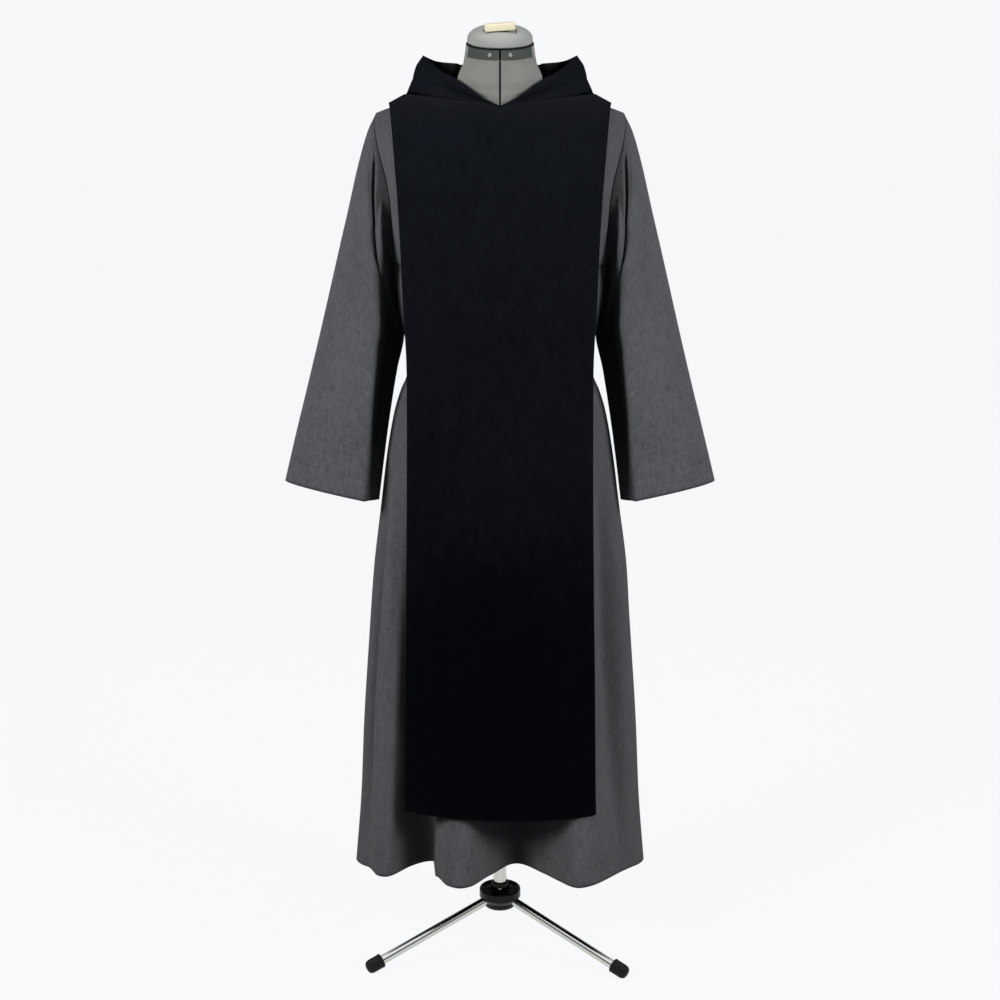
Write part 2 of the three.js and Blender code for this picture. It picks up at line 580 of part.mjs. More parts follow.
function sleeve(side) {
  const points = SLEEVE_ROWS.map((along) => SLEEVE_TURNS.map((turn) => sleevePoint(side, turn, along)));
  const straighten = (row, column, normal) => {
    const alongArmhole = row === 0 && Math.cos(SLEEVE_TURNS[column]) > -0.6;
    if (alongArmhole) normal.x = 0;
  };
  return wall(points, { round: true, outward: side, straighten });
}

const SCAPULAR_COLUMNS = span(2 * SCAPULAR_COLUMNS_EACH_SIDE).map((t) => 2 * t - 1);
const SCAPULAR_HEIGHTS = [1370, 1302, 1210, 1115, 1020, 920, 800, 660, 500, SCAPULAR_HEM_Z];
const SCAPULAR_ROWS = [
  ...YOKE_ROWS,
  ...SCAPULAR_HEIGHTS.map((z) => 1 + (CHEST_Z - z) / (CHEST_Z - SCAPULAR_HEM_Z)),
];

function scapularPanel(face) {
  const onShoulder = (row, column) => (
    row === 0 && Math.abs(SCAPULAR_COLUMNS[column]) >= SCAPULAR_NECK_SHARE - 1e-6
  );
  const points = SCAPULAR_ROWS.map((down, row) => SCAPULAR_COLUMNS.map((across, column) => {
    const point = scapularPoint(face, across, down);
    if (onShoulder(row, column)) point.y += (face * SEAM) / 2;
    return point;
  }));
  const straighten = (row, column, normal) => {
    if (onShoulder(row, column)) normal.y = 0;
  };
  return wall(points, { outward: face, straighten });
}

const HOOD_COLUMNS = [
  ...span(10).map((t) => t * HOOD_TIP),
  ...span(10).slice(1).map((t) => lerp(HOOD_TIP, 1, t)),
];
const HOOD_ROWS = [0, 0.06, 0.16, 0.27, 0.38, 0.46, 0.53, 0.64, 0.8, 1];

function hoodHalf(side) {
  const points = HOOD_ROWS.map((up) => HOOD_COLUMNS.map((round) => {
    const point = hoodPoint(side, round, up);
    if (round === 0 || round === 1) point.x = (side * SEAM) / 2;
    return point;
  }));
  const last = HOOD_COLUMNS.length - 1;
  const straighten = (row, column, normal) => {
    if (column === 0 || column === last) normal.x = 0;
    if (row === 0) normal.z = 0;
  };
  return wall(points, { outward: side, straighten });
}

// ---------------------------------------------------------------- solids of the form and the stand

const { Manifold, Mesh } = wasm;
const CUTTER = 40;                  // size of the boxes that cut slots, past the slot's own sizes

function toSolid(geometry, matrix = new THREE.Matrix4()) {
  const bare = geometry.clone().applyMatrix4(matrix);
  bare.deleteAttribute('normal');
  bare.deleteAttribute('uv');
  const merged = mergeVertices(bare, 1e-4);
  return new Manifold(new Mesh({
    numProp: 3,
    vertProperties: new Float32Array(merged.attributes.position.array),
    triVerts: new Uint32Array(merged.index.array),
  }));
}

function fromSolid(solid) {
  const mesh = solid.getMesh();
  const geometry = new THREE.BufferGeometry();
  geometry.setAttribute('position', new THREE.Float32BufferAttribute(mesh.vertProperties, 3));
  geometry.setIndex(Array.from(mesh.triVerts));
  return geometry;
}

// A round bar between two points.
function bar(start, end, radius, sides = 20) {
  const along = end.clone().sub(start);
  const geometry = new THREE.CylinderGeometry(radius, radius, along.length(), sides);
  const upright = vector(0, 1, 0);
  geometry.applyQuaternion(new THREE.Quaternion().setFromUnitVectors(upright, along.normalize()));
  const middle = start.clone().add(end).multiplyScalar(0.5);
  return geometry.translate(middle.x, middle.y, middle.z);
}

// A shape turned about the Z axis from a profile of [radius, height] pairs.
function turned(profile, sides) {
  const points = profile.map(([radius, height]) => new THREE.Vector2(radius, height));
  return new THREE.LatheGeometry(points, sides).rotateX(RIGHT_ANGLE);
}

const formAt = lines(FORM_SECTIONS, 'z', 'side', 'front', 'back', 'square');
const FORM_BOTTOM = FORM_SECTIONS[0].z;
const TILT_FROM = 1614;

// The form's surface, by the turn from its front towards the wearer's left, and the height.
function formPoint(turn, z, out = 0) {
  const power = 2 / formAt.square(z);
  const depth = Math.cos(turn) > 0 ? -formAt.front(z) : formAt.back(z);
  const x = Math.sign(Math.sin(turn)) * (formAt.side(z) + out) * Math.abs(Math.sin(turn)) ** power;
  const y = (depth + Math.sign(depth) * out) * Math.abs(Math.cos(turn)) ** power;
  const lean = clamp((z - TILT_FROM) / (CAP.z - TILT_FROM), 0, 1);
  return vector(x, y, z + y * Math.tan(degrees(CAP.tilt)) * lean);
}

function dressForm() {
  const sides = 40;
  const heights = [
    830, 850, 950, 1040, 1120, 1190, 1260, 1350, 1437, 1480, 1515, 1540, 1556, 1566, 1574, 1583,
    1588, 1596, 1614, 1629, 1645, 1660, CAP.z,
  ];
  const position = [];
  for (const z of heights) {
    for (let i = 0; i < sides; i += 1) position.push(...formPoint((i / sides) * 2 * Math.PI, z));
  }
  position.push(0, 0, FORM_BOTTOM, 0, 0, CAP.z);
  const index = [];
  const bottomCentre = heights.length * sides;
  for (let i = 0; i < sides; i += 1) {
    const next = (i + 1) % sides;
    for (let r = 0; r < heights.length - 1; r += 1) {
      const [a, b] = [r * sides + i, r * sides + next];
      index.push(a, b, b + sides, a, b + sides, a + sides);
    }
    const top = (heights.length - 1) * sides;
    index.push(bottomCentre, next, i, bottomCentre + 1, top + i, top + next);
  }
  const geometry = new THREE.BufferGeometry();
  geometry.setAttribute('position', new THREE.Float32BufferAttribute(position, 3));
  geometry.setIndex(index);
  const socket = bar(vector(0, 0, FORM_BOTTOM - 10), vector(0, 0, POLE.top + SEAM), POLE.socket);
  const gapHeight = CAP.z + CUTTER - NECK_GAP.bottom;
  const gap = new THREE.BoxGeometry(NECK_GAP.width, CUTTER, gapHeight)
    .translate(0, -NECK_GAP.floor - CUTTER / 2, NECK_GAP.bottom + gapHeight / 2);
  return fromSolid(toSolid(geometry).subtract(toSolid(socket)).subtract(toSolid(gap)));
}

// What stands on the neck's slanting top is made level and then leaned over with it.
const LEANED = new THREE.Matrix4()
  .makeTranslation(0, 0, CAP.z)
  .multiply(new THREE.Matrix4().makeRotationX(degrees(CAP.tilt)));

function capProfile() {
  const power = 2 / CAP.square;
  const dome = span(8).map((t) => {
    const turn = t * RIGHT_ANGLE;
    const high = (CAP.height - CAP.rim) * Math.sin(turn) ** power;
    return [CAP.radius * Math.cos(turn) ** power, CAP.rim + high];
  });
  dome[dome.length - 1][0] = 0;
  const seat = [
    [0, SEAM], [CAP.seat, SEAM], [CAP.seat + 0.5, CAP.lip],
    [CAP.radius - 0.8, CAP.lip], [CAP.radius, CAP.lip + 0.8],
  ];
  return [...seat, ...dome];
}

function cap() {
  const slot = new THREE.BoxGeometry(SLOT.length, SLOT.width, CUTTER)
    .translate(0, SLOT.at, SLOT.floor + CUTTER / 2);
  return fromSolid(toSolid(turned(capProfile(), 40)).subtract(toSolid(slot))).applyMatrix4(LEANED);
}

function handle() {
  const lifted = (HANDLE.length / 2) * Math.sin(degrees(HANDLE.roll));
  return new THREE.BoxGeometry(HANDLE.length, HANDLE.width, HANDLE.height)
    .rotateY(degrees(-HANDLE.roll))
    .translate(0, SLOT.at, SLOT.floor + SEAM + HANDLE.height / 2 + lifted)
    .applyMatrix4(LEANED);
}

function plate(side) {
  const turns = span(7).map((t) => degrees(lerp(PLATE.from, PLATE.to, t)) * side);
  const points = [PLATE.top, (PLATE.top + PLATE.bottom) / 2, PLATE.bottom].map((z) => (
    turns.map((turn) => formPoint(turn, z, PLATE.off + WALL))
  ));
  return wall(points, { outward: -side });
}

function rivet(side) {
  const inner = formPoint(degrees(RIVET.turn) * side, RIVET.z, PLATE.off + WALL + SEAM);
  const outward = vector(inner.x, inner.y, 0).normalize();
  return bar(inner, inner.clone().addScaledVector(outward, RIVET.length), RIVET.radius, 16);
}

const LEG_SLOPE = (LEG.endZ - LEG.rootZ) / (LEG.end - LEG.root);

// A point on a leg's axis, by its distance from the pole's axis.
function legPoint(heading, reach) {
  const turn = degrees(heading + LEG.turn);
  const z = LEG.rootZ + LEG_SLOPE * (reach - LEG.root);
  return vector(reach * Math.sin(turn), -reach * Math.cos(turn), z);
}

function legSocket(heading) {
  return toSolid(bar(legPoint(heading, LEG.root - SEAM), legPoint(heading, LEG.end), LEG.radius + SEAM));
}

function hub() {
  const body = toSolid(turned([
    [0, HUB.bottom], [HUB.foot - 3, HUB.bottom], [HUB.foot, HUB.bottom + 3], [HUB.foot + 1, 89],
    [HUB.radius - 2, 95], [HUB.radius, 98], [HUB.radius, HUB.top - 2], [HUB.radius - 1.5, HUB.top],
    [HUB.radius - 4, HUB.top], [31, 108], [HUB.collar + 3, 108], [HUB.collar, 111],
    [HUB.collar, HUB.collarTop - 1], [HUB.collar - 1, HUB.collarTop],
    [POLE.radius + SEAM, HUB.collarTop], [POLE.radius + SEAM, POLE.bottom - SEAM], [0, POLE.bottom - SEAM],
  ], 24));
  const sockets = Object.values(LEG_TURNS).map(legSocket);
  return fromSolid(sockets.reduce((left, socket) => left.subtract(socket), body));
}

function tip(heading) {
  const outer = toSolid(bar(legPoint(heading, TIP.start), legPoint(heading, TIP.end), TIP.radius));
  const bore = toSolid(bar(legPoint(heading, 200), legPoint(heading, LEG.end + SEAM), LEG.radius + SEAM));
  const ground = toSolid(new THREE.BoxGeometry(1000, 1000, CUTTER).translate(0, 0, -CUTTER / 2));
  return fromSolid(outer.subtract(bore).subtract(ground));
}

// ---------------------------------------------------------------- the scene

const finish = (color, roughness, metalness = 0) => (
  new THREE.MeshStandardMaterial({ color, roughness, metalness })
);
const GREY_CLOTH = finish(0x57575a, 0.9);
const BLACK_CLOTH = finish(0x10141a, 0.9);
const FORM_CLOTH = finish(0x8c8c87, 0.85);
const CAP_METAL = finish(0xafb4b4, 0.35, 0.9);
const PLATE_PAINT = finish(0x525a56, 0.5, 0.3);
const CREAM = finish(0xf0e8cd, 0.5);
const CHROME = finish(0xd8dadc, 0.12, 1);
const HUB_BLACK = finish(0x0c0c0e, 0.2);
const RUBBER = finish(0x17171a, 0.75);

const part = new THREE.Group();

function add(name, geometry, material) {
  const mesh = new THREE.Mesh(geometry, material);
  mesh.name = name;
  part.add(mesh);
  return mesh;
}

for (const [word, face] of [['front', FRONT], ['back', BACK]]) {
  add(`tunic_${word}`, tunicPanel(face), GREY_CLOTH);
  add(`scapular_${word}`, scapularPanel(face), BLACK_CLOTH);
}
for (const [word, side] of [['left', LEFT], ['right', RIGHT]]) {
  add(`sleeve_${word}`, sleeve(side), GREY_CLOTH);
  add(`hood_${word}`, hoodHalf(side), BLACK_CLOTH);
  add(`neck_plate_${word}`, plate(side), PLATE_PAINT);
  add(`rivet_${word}`, rivet(side), CHROME);
}
add('dress_form', dressForm(), FORM_CLOTH);
add('neck_cap', cap(), CAP_METAL);
add('cap_handle', handle(), CREAM);
add('pole', bar(vector(0, 0, POLE.bottom), vector(0, 0, POLE.top), POLE.radius, 32), CHROME);
add('hub', hub(), HUB_BLACK);
const screwStart = vector(0, -HUB.collar - SEAM, SCREW.z);
const screwEnd = vector(0, screwStart.y - SCREW.length, SCREW.z);
add('hub_screw', bar(screwStart, screwEnd, SCREW.radius, 16), CHROME);
for (const [word, heading] of Object.entries(LEG_TURNS)) {
  add(`leg_${word}`, bar(legPoint(heading, LEG.root), legPoint(heading, LEG.end), LEG.radius), CHROME);
  add(`foot_${word}`, tip(heading), RUBBER);
}

// The origin is on the floor, under the middle of the whole.
const box = new THREE.Box3().setFromObject(part);
const middle = box.getCenter(vector(0, 0, 0));
part.position.set(-middle.x, -middle.y, -box.min.z);
part.updateMatrixWorld(true);

export default part;
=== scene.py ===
# %% [markdown]
# # A monk's habit on a dress form
#
# The habit is a grey tunic with wide sleeves, and over it a black scapular with a hood. It hangs
# on a limbless dress form that turns on a chrome tripod. Hung cloth is mostly one sheet that
# follows what is under it, so each sheet here is a grid that a short formula lays over the form.
# Small tables say where its folds run. Every size is in millimetres from the pole's axis, until
# `at` places it.

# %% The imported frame
import math

import bmesh
import bpy
from mathutils import Matrix, Vector, noise


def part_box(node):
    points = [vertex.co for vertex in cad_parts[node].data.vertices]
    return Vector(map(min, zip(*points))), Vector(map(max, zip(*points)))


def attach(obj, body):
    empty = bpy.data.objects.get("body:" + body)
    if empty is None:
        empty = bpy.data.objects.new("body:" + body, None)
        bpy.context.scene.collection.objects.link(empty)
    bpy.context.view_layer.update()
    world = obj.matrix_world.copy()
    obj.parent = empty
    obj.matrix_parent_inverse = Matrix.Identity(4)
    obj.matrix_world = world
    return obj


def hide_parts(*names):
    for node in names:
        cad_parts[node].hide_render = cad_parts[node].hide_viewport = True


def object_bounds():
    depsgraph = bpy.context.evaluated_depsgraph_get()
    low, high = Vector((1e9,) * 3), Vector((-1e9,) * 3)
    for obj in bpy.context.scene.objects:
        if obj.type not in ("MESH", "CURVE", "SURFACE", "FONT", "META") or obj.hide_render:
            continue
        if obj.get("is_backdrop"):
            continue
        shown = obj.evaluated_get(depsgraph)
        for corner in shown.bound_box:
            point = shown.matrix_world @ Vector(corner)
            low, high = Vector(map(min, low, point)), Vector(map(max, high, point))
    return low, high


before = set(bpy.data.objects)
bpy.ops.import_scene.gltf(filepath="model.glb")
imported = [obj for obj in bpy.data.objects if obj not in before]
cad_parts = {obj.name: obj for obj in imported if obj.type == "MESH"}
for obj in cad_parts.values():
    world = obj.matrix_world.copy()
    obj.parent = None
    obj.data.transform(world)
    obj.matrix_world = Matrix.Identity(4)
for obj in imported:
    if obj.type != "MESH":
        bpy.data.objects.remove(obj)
CAD_LOW, CAD_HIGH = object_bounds()
MM = 0.001

pole_low, pole_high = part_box("pole")
AXIS = (pole_low + pole_high) / 2
AXIS.z = 0.0


def at(x, y, z):
    """A place in the frame, from millimetres measured from the pole's axis and the floor."""
    return Vector((x * MM + AXIS.x, y * MM + AXIS.y, z * MM))


print("the pole's axis is at", AXIS, "and the pole's top at", round(pole_high.z, 3))


# %% [markdown]
# ## Camera, floor and light
#
# A tall thing is best seen from a little above its middle with a long lens, so that its hem and
# its shoulders both keep their shape. Two wide soft lights in front make cloth look soft. They
# stand high, so the light falls off towards the floor, as it does in a small studio. The walls
# around give little light of their own, which lets the deep places between sleeve and body go
# dark.

# %% Camera
CAMERA_HEIGHT = 1620
CAMERA_DISTANCE = 3240
CAMERA_TILT = math.radians(13)
SENSOR_WIDTH = 36
FOCAL_SHARE = 1.831

camera_data = bpy.data.cameras.new("camera")
camera_data.sensor_width = SENSOR_WIDTH
camera_data.lens = SENSOR_WIDTH * FOCAL_SHARE
camera = bpy.data.objects.new("camera", camera_data)
camera.location = at(0, -CAMERA_DISTANCE, CAMERA_HEIGHT)
camera.rotation_euler = (math.pi / 2 - CAMERA_TILT, 0, 0)
bpy.context.collection.objects.link(camera)
bpy.context.scene.camera = camera
bpy.context.scene.view_settings.view_transform = "Standard"
print("the camera's lens is", round(camera_data.lens, 1), "mm")


# %% Lights
LIGHT_SIZE = 1.2
CHEST = at(0, 0, 1300)


def soft_light(name, place, watts):
    """A square area light that faces the chest."""
    data = bpy.data.lights.new(name, "AREA")
    data.shape = "SQUARE"
    data.size = LIGHT_SIZE
    data.energy = watts
    lamp = bpy.data.objects.new(name, data)
    lamp.location = at(*place)
    lamp.rotation_euler = (CHEST - lamp.location).to_track_quat("-Z", "Y").to_euler()
    lamp.visible_glossy = False
    bpy.context.collection.objects.link(lamp)


soft_light("left light", (-2700, -2150, 2750), 131)
soft_light("right light", (2750, -2050, 2700), 119)


# %% [markdown]
# ## Shader maths in plain expressions
#
# A shader pattern is arithmetic on sockets. The small class below wraps a socket, so that
# `1 - weave * 0.5` adds the Math nodes by itself. `Paint` holds the nodes of one material, or of
# the world, and makes every other node with one method.

# %% Sockets that add up
class Level:
    """A shader value that can be used in a Python expression."""

    def __init__(self, paint, socket):
        self.paint, self.socket = paint, socket

    def _math(self, operation, first, second=None):
        inputs = {0: first} if second is None else {0: first, 1: second}
        return self.paint.level("ShaderNodeMath", {"operation": operation}, inputs)

    def __add__(self, other):
        return self._math("ADD", self, other)

    __radd__ = __add__

    def __sub__(self, other):
        return self._math("SUBTRACT", self, other)

    def __rsub__(self, other):
        return self._math("SUBTRACT", other, self)

    def __mul__(self, other):
        return self._math("MULTIPLY", self, other)

    __rmul__ = __mul__

    def __truediv__(self, other):
        return self._math("DIVIDE", self, other)

    def sine(self):
        return self._math("SINE", self)

    def below(self, limit):
        return self._math("LESS_THAN", self, limit)

    def near(self, place, width):
        """1 at a place, falling smoothly to 0 at a few widths from it."""
        offset = (self - place) / width
        return self._math("EXPONENT", offset * offset * -1)


# %% A material's nodes
# A Mix node has sockets for numbers, vectors and colours. These are the places of its colours.
MIX_COLOURS = (6, 7)
MIX_RESULT = 2


class Paint:
    """The nodes of one material, or of the world, and the one way in which they are made."""

    def __init__(self, owner):
        owner.use_nodes = True
        self.owner = owner
        self.tree = owner.node_tree
        self.shader = self.tree.nodes.get("Principled BSDF")

    def node(self, kind, settings=None, inputs=None):
        """A node of this kind. Its settings come first, then the values or links of its sockets."""
        made = self.tree.nodes.new(kind)
        for name, value in (settings or {}).items():
            if name == "stops":
                self.set_stops(made.color_ramp.elements, value)
            else:
                setattr(made, name, value)
        self.fill(made, inputs or {})
        return made

    def set_stops(self, elements, stops):
        """Gives a ramp its stops, each a place and a colour, or a grey as one number."""
        elements[0].position, elements[1].position = stops[0][0], stops[-1][0]
        for place, _ in stops[1:-1]:
            elements.new(place)
        for element, (_, tone) in zip(elements, stops):
            element.color = (*tone, 1) if isinstance(tone, tuple) else (tone, tone, tone, 1)

    def fill(self, node, inputs):
        for name, value in inputs.items():
            if isinstance(value, Level):
                self.tree.links.new(value.socket, node.inputs[name])
            elif isinstance(value, bpy.types.NodeSocket):
                self.tree.links.new(value, node.inputs[name])
            else:
                node.inputs[name].default_value = value

    def level(self, kind, settings=None, inputs=None, output=0):
        return Level(self, self.node(kind, settings, inputs).outputs[output])

    def finish(self, **inputs):
        """Sets the shader's own sockets: base_color goes to Base Color, and so on."""
        for name, value in inputs.items():
            socket = name.replace("_", " ").title().replace("Ior", "IOR")
            self.fill(self.shader, {socket: value})
        return self.owner

    def mix(self, factor, first, second):
        """A colour between two colours."""
        made = self.node("ShaderNodeMix", {"data_type": "RGBA"}, {0: factor})
        for index, tone in zip(MIX_COLOURS, (first, second)):
            self.fill(made, {index: tone if isinstance(tone, bpy.types.NodeSocket) else (*tone, 1)})
        return made.outputs[MIX_RESULT]

    def ramp(self, factor, *stops):
        return self.node("ShaderNodeValToRGB", {"stops": stops}, {0: factor}).outputs["Color"]

    def across_and_along(self):
        """The two directions of a cloth, in metres from its corner, from its own UV map."""
        coordinates = self.node("ShaderNodeTexCoord").outputs["UV"]
        split = self.node("ShaderNodeSeparateXYZ", inputs={0: coordinates})
        return Level(self, split.outputs["X"]), Level(self, split.outputs["Y"])

    def noise(self, place, scale, detail, roughness=0.5):
        inputs = {"Vector": place, "Scale": scale, "Detail": detail, "Roughness": roughness}
        return self.level("ShaderNodeTexNoise", inputs=inputs)

    def streaks(self, sides, counts, layer, detail=3.0, roughness=0.6):
        """Noise on a cloth, with so many streaks to a metre of each of its two sides."""
        inputs = {index: side * count for index, (side, count) in enumerate(zip(sides, counts))}
        place = self.node("ShaderNodeCombineXYZ", inputs={**inputs, 2: layer})
        return self.noise(place.outputs[0], 1.0, detail, roughness)

    def attribute(self, name):
        return self.level("ShaderNodeAttribute", {"attribute_name": name}, output=2)

    def bump(self, height, distance, strength):
        inputs = {"Height": height, "Distance": distance, "Strength": strength}
        return self.node("ShaderNodeBump", inputs=inputs).outputs["Normal"]

    def object_place(self):
        return self.node("ShaderNodeTexCoord").outputs["Object"]

    def show(self, end, soft, mirrored, seen):
        """Ends with one shader for soft light, one for gloss to mirror, and one for the camera."""
        rays = self.node("ShaderNodeLightPath").outputs
        shown = soft
        for ray, shader in (("Is Glossy Ray", mirrored), ("Is Camera Ray", seen)):
            both = self.node("ShaderNodeMixShader", inputs={0: rays[ray], 1: shown, 2: shader})
            shown = both.outputs[0]
        self.tree.links.new(shown, self.tree.nodes[end].inputs["Surface"])


# %% Surroundings
WHITE = (0.922, 0.939, 0.956, 1)


def white_room():
    """A surround that shows as near-white and lights cloth mostly from above.

    Gloss and chrome have a bright ceiling and a dark wall to reflect.
    """
    room = Paint(bpy.data.worlds.new("room"))
    direction = room.node("ShaderNodeTexCoord").outputs["Generated"]
    height = room.node("ShaderNodeSeparateXYZ", inputs={0: direction}).outputs["Z"]

    def surround(strength, *stops):
        """Light by the height of its direction, from level at 0 to straight up at 1."""
        inputs = {"Color": room.ramp(height, *stops), "Strength": strength}
        return room.node("ShaderNodeBackground", inputs=inputs).outputs[0]

    soft = surround(0.24, (0.0, 0.05), (0.25, 0.10), (0.62, 0.75), (1.0, 0.9))
    mirrored = surround(
        1.0, (0.0, 0.55), (0.10, 0.25), (0.30, 0.05), (0.50, 0.05), (0.62, 0.5), (0.72, 1.0),
        (1.0, 0.9),
    )
    seen = room.tree.nodes["Background"]
    room.fill(seen, {"Color": WHITE})
    room.show("World Output", soft, mirrored, seen.outputs[0])
    bpy.context.scene.world = room.owner


white_room()


# %% Floor
FLOOR_RADIUS = 40


def mesh_object(bm, name, materials):
    """An object from a bmesh, with its materials."""
    mesh = bpy.data.meshes.new(name)
    bm.to_mesh(mesh)
    bm.free()
    for material in materials:
        mesh.materials.append(material)
    made = bpy.data.objects.new(name, mesh)
    bpy.context.collection.objects.link(made)
    return made


def pale_floor():
    """A wide pale floor that takes only a faint shadow, and throws little light back up."""
    bm = bmesh.new()
    bmesh.ops.create_circle(bm, cap_ends=True, segments=64, radius=FLOOR_RADIUS)
    paint = Paint(bpy.data.materials.new("floor paint"))
    paint.finish(
        base_color=(0.030, 0.030, 0.030, 1), roughness=1.0, specular_ior_level=0.0,
        emission_color=WHITE, emission_strength=0.985,
    )
    soft = paint.node("ShaderNodeBsdfDiffuse", inputs={"Color": (0.14, 0.16, 0.15, 1)})
    mirrored = paint.node("ShaderNodeEmission", inputs={"Color": (0.66, 0.67, 0.63, 1)})
    paint.show("Material Output", soft.outputs[0], mirrored.outputs[0], paint.shader.outputs[0])
    mesh_object(bm, "floor", [paint.owner])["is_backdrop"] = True


pale_floor()


# %% [markdown]
# ## Wool
#
# The tunic is a heather: its yarn is spun from lighter and darker fibres, so the cloth has short
# pale and dark streaks along both threads. The scapular is the same kind of cloth in a
# blue-black. Wool shows three scales: streaks of yarn a few millimetres long, the crossing
# threads under them, and a nap that catches light at the edges. The nap is the shader's sheen.
# Shade is painted into the wool's colour: the depth of a fold, the strip behind a sleeve's corner
# and the underside of the hood's roll are painted darker, the scapular carries a painted shadow
# just below the hood's roll, and the black is painted darker towards its hem, where less light
# falls. The hood's inner side is a paler, browner copy of the black: partly the duller wrong side
# of the wool, and partly painted light, so that the pleat inside the hood shows as lit.

# %% Wool cloth
# These sizes are in metres, as the shader measures a cloth. The last one is how far above a hem
# the black wool is painted darker, as painted shade where less light falls.
THREAD = 0.0011
STITCH = 0.0034
STITCH_WIDTH = 0.0011
HEM_STITCH = 0.034
SEAM_WIDTH = 0.0022
HEM_SHADE_REACH = 0.55


def darker(tone, share):
    return tuple(value * share for value in tone)


def wool(name, dark, pale, nap, gloss, streak=1.0, hem_shade=0.0, seam_and_shadow_dark=0.35, fold_shade=0.0):
    """A woven cloth between two tones, with its threads, its hem's stitching, its seams and painted
    shade.
    """
    paint = Paint(bpy.data.materials.new(name))
    sides = across, along = paint.across_and_along()
    warp = paint.streaks(sides, (1100, 110), 0.0, roughness=0.62)
    weft = paint.streaks(sides, (90, 900), 7.0, roughness=0.62)
    slub = paint.streaks(sides, (330, 42), 11.0, 2.0)
    cross_slub = paint.streaks(sides, (34, 300), 5.0, 2.0)
    rubbed = paint.streaks(sides, (30, 17), 9.0)
    cloud = paint.streaks(sides, (6, 4), 3.0, 2.0, 0.5)
    hem = paint.attribute("hem")
    stitch_gap = (across * (math.tau / STITCH)).sine() * 0.5 + 0.5
    stitching = hem.near(HEM_STITCH, STITCH_WIDTH) * (0.35 + stitch_gap * 0.4)
    # Dark seam lines. On the black wool this also paints the shadow below the hood's roll.
    seam_and_shadow_line = paint.attribute("seam").near(0.0, SEAM_WIDTH)
    yarn = (warp - 0.5) * 0.95 + (weft - 0.5) * 0.75
    yarn = yarn + (slub - 0.5) * 0.75 + (cross_slub - 0.5) * 0.4
    tone = yarn * streak + 0.5 + (rubbed - 0.5) * 0.34 + (cloud - 0.5) * 0.3
    # The hem term paints the black wool darker towards its hem, as painted shade where less light
    # falls.
    tone = tone - stitching * 0.2 - seam_and_shadow_line * seam_and_shadow_dark - hem.near(0.0, HEM_SHADE_REACH) * hem_shade
    colour = paint.ramp(tone, (0.0, dark), (1.0, pale))
    # Painted shade: the fold attribute darkens the depth of folds, the strip behind a sleeve's
    # corner and the underside of the hood's roll.
    if fold_shade:
        painted_fold_shade = darker(dark, 0.3)
        colour = paint.mix(paint.attribute("fold") * fold_shade, colour, painted_fold_shade)
    threads = (across * (math.tau / THREAD)).sine() * (along * (math.tau / THREAD)).sine()
    height = threads * 0.25 + warp * 0.5 + weft * 0.5 + slub * 0.7
    height = height - stitching * 1.2 - seam_and_shadow_line * 2.5 + hem.below(HEM_STITCH) * 0.4
    return paint.finish(
        base_color=colour,
        roughness=0.93 - warp * 0.1,
        specular_ior_level=gloss,
        sheen_weight=nap,
        sheen_roughness=0.45,
        normal=paint.bump(height, 0.0005, 0.8),
    )


# %% The habit's woollens
# The last setting is the strength of the painted shade in the folds.
GREY_WOOL = wool(
    "grey heather wool", dark=(0.0435, 0.0450, 0.0500), pale=(0.1380, 0.1420, 0.1520),
    nap=0.06, gloss=0.15, fold_shade=0.9,
)
# The black's stronger seam darkening also paints the shadow below the hood's roll.
BLACK = dict(
    dark=(0.0004, 0.0008, 0.0017), pale=(0.0094, 0.0115, 0.0156),
    nap=0.008, gloss=0.06, streak=0.7, seam_and_shadow_dark=0.8, fold_shade=0.95,
)
# The scapular's black is also painted darker towards its hem, as painted shade.
BLACK_WOOL = wool("blue-black wool", hem_shade=0.72, **BLACK)
HOOD_WOOL = wool("blue-black wool of the hood", **BLACK)
# Paler than the black: partly the wool's wrong side, and partly painted light for the pleat inside
# the hood.
HOOD_INSIDE = wool(
    "inner side of the hood", dark=(0.0020, 0.0020, 0.0022), pale=(0.0290, 0.0285, 0.0270),
    nap=0.008, gloss=0.06, streak=0.7,
)
print("wool:", ", ".join(one.name for one in (GREY_WOOL, BLACK_WOOL, HOOD_WOOL, HOOD_INSIDE)))


# %% [markdown]
# ## The form's own finishes
#
# Under the habit the form is covered in a fine grey jersey. Its cap has a silver lacquer, the
# band round its neck is satin metal, and the stand is chrome with a gloss black hub and rubber
# feet.

# %% Jersey
WALE = 0.0016
COURSE = 0.0012


def jersey():
    """A fine knit, whose loops stand in upright wales and level courses."""
    paint = Paint(bpy.data.materials.new("grey jersey"))
    sides = across, along = paint.across_and_along()
    loops = (across * (math.tau / WALE)).sine() * (along * (math.tau / COURSE)).sine()
    fibre = paint.streaks(sides, (700, 500), 0.0)
    cloud = paint.streaks(sides, (9, 9), 2.0, 2.0, 0.5)
    tone = 0.5 + (fibre - 0.5) * 0.9 + (cloud - 0.5) * 0.5 + loops * 0.08
    return paint.finish(
        base_color=paint.ramp(tone, (0.0, (0.168, 0.168, 0.158)), (1.0, (0.290, 0.290, 0.272))),
        roughness=0.88,
        specular_ior_level=0.25,
        sheen_weight=0.15,
        sheen_roughness=0.5,
        normal=paint.bump(loops * 0.4 + fibre, 0.0003, 0.5),
    )


# %% Lacquer, chrome and rubber
def metal(name, tone, roughness, metallic=1.0, mottle=0.06):
    """A metal or lacquer with faint smudges, seen only in its gloss."""
    paint = Paint(bpy.data.materials.new(name))
    smudge = paint.noise(paint.object_place(), 22.0, 3.0)
    return paint.finish(
        base_color=paint.mix(smudge, darker(tone, 0.93), tone),
        metallic=metallic,
        roughness=roughness + smudge * mottle,
    )


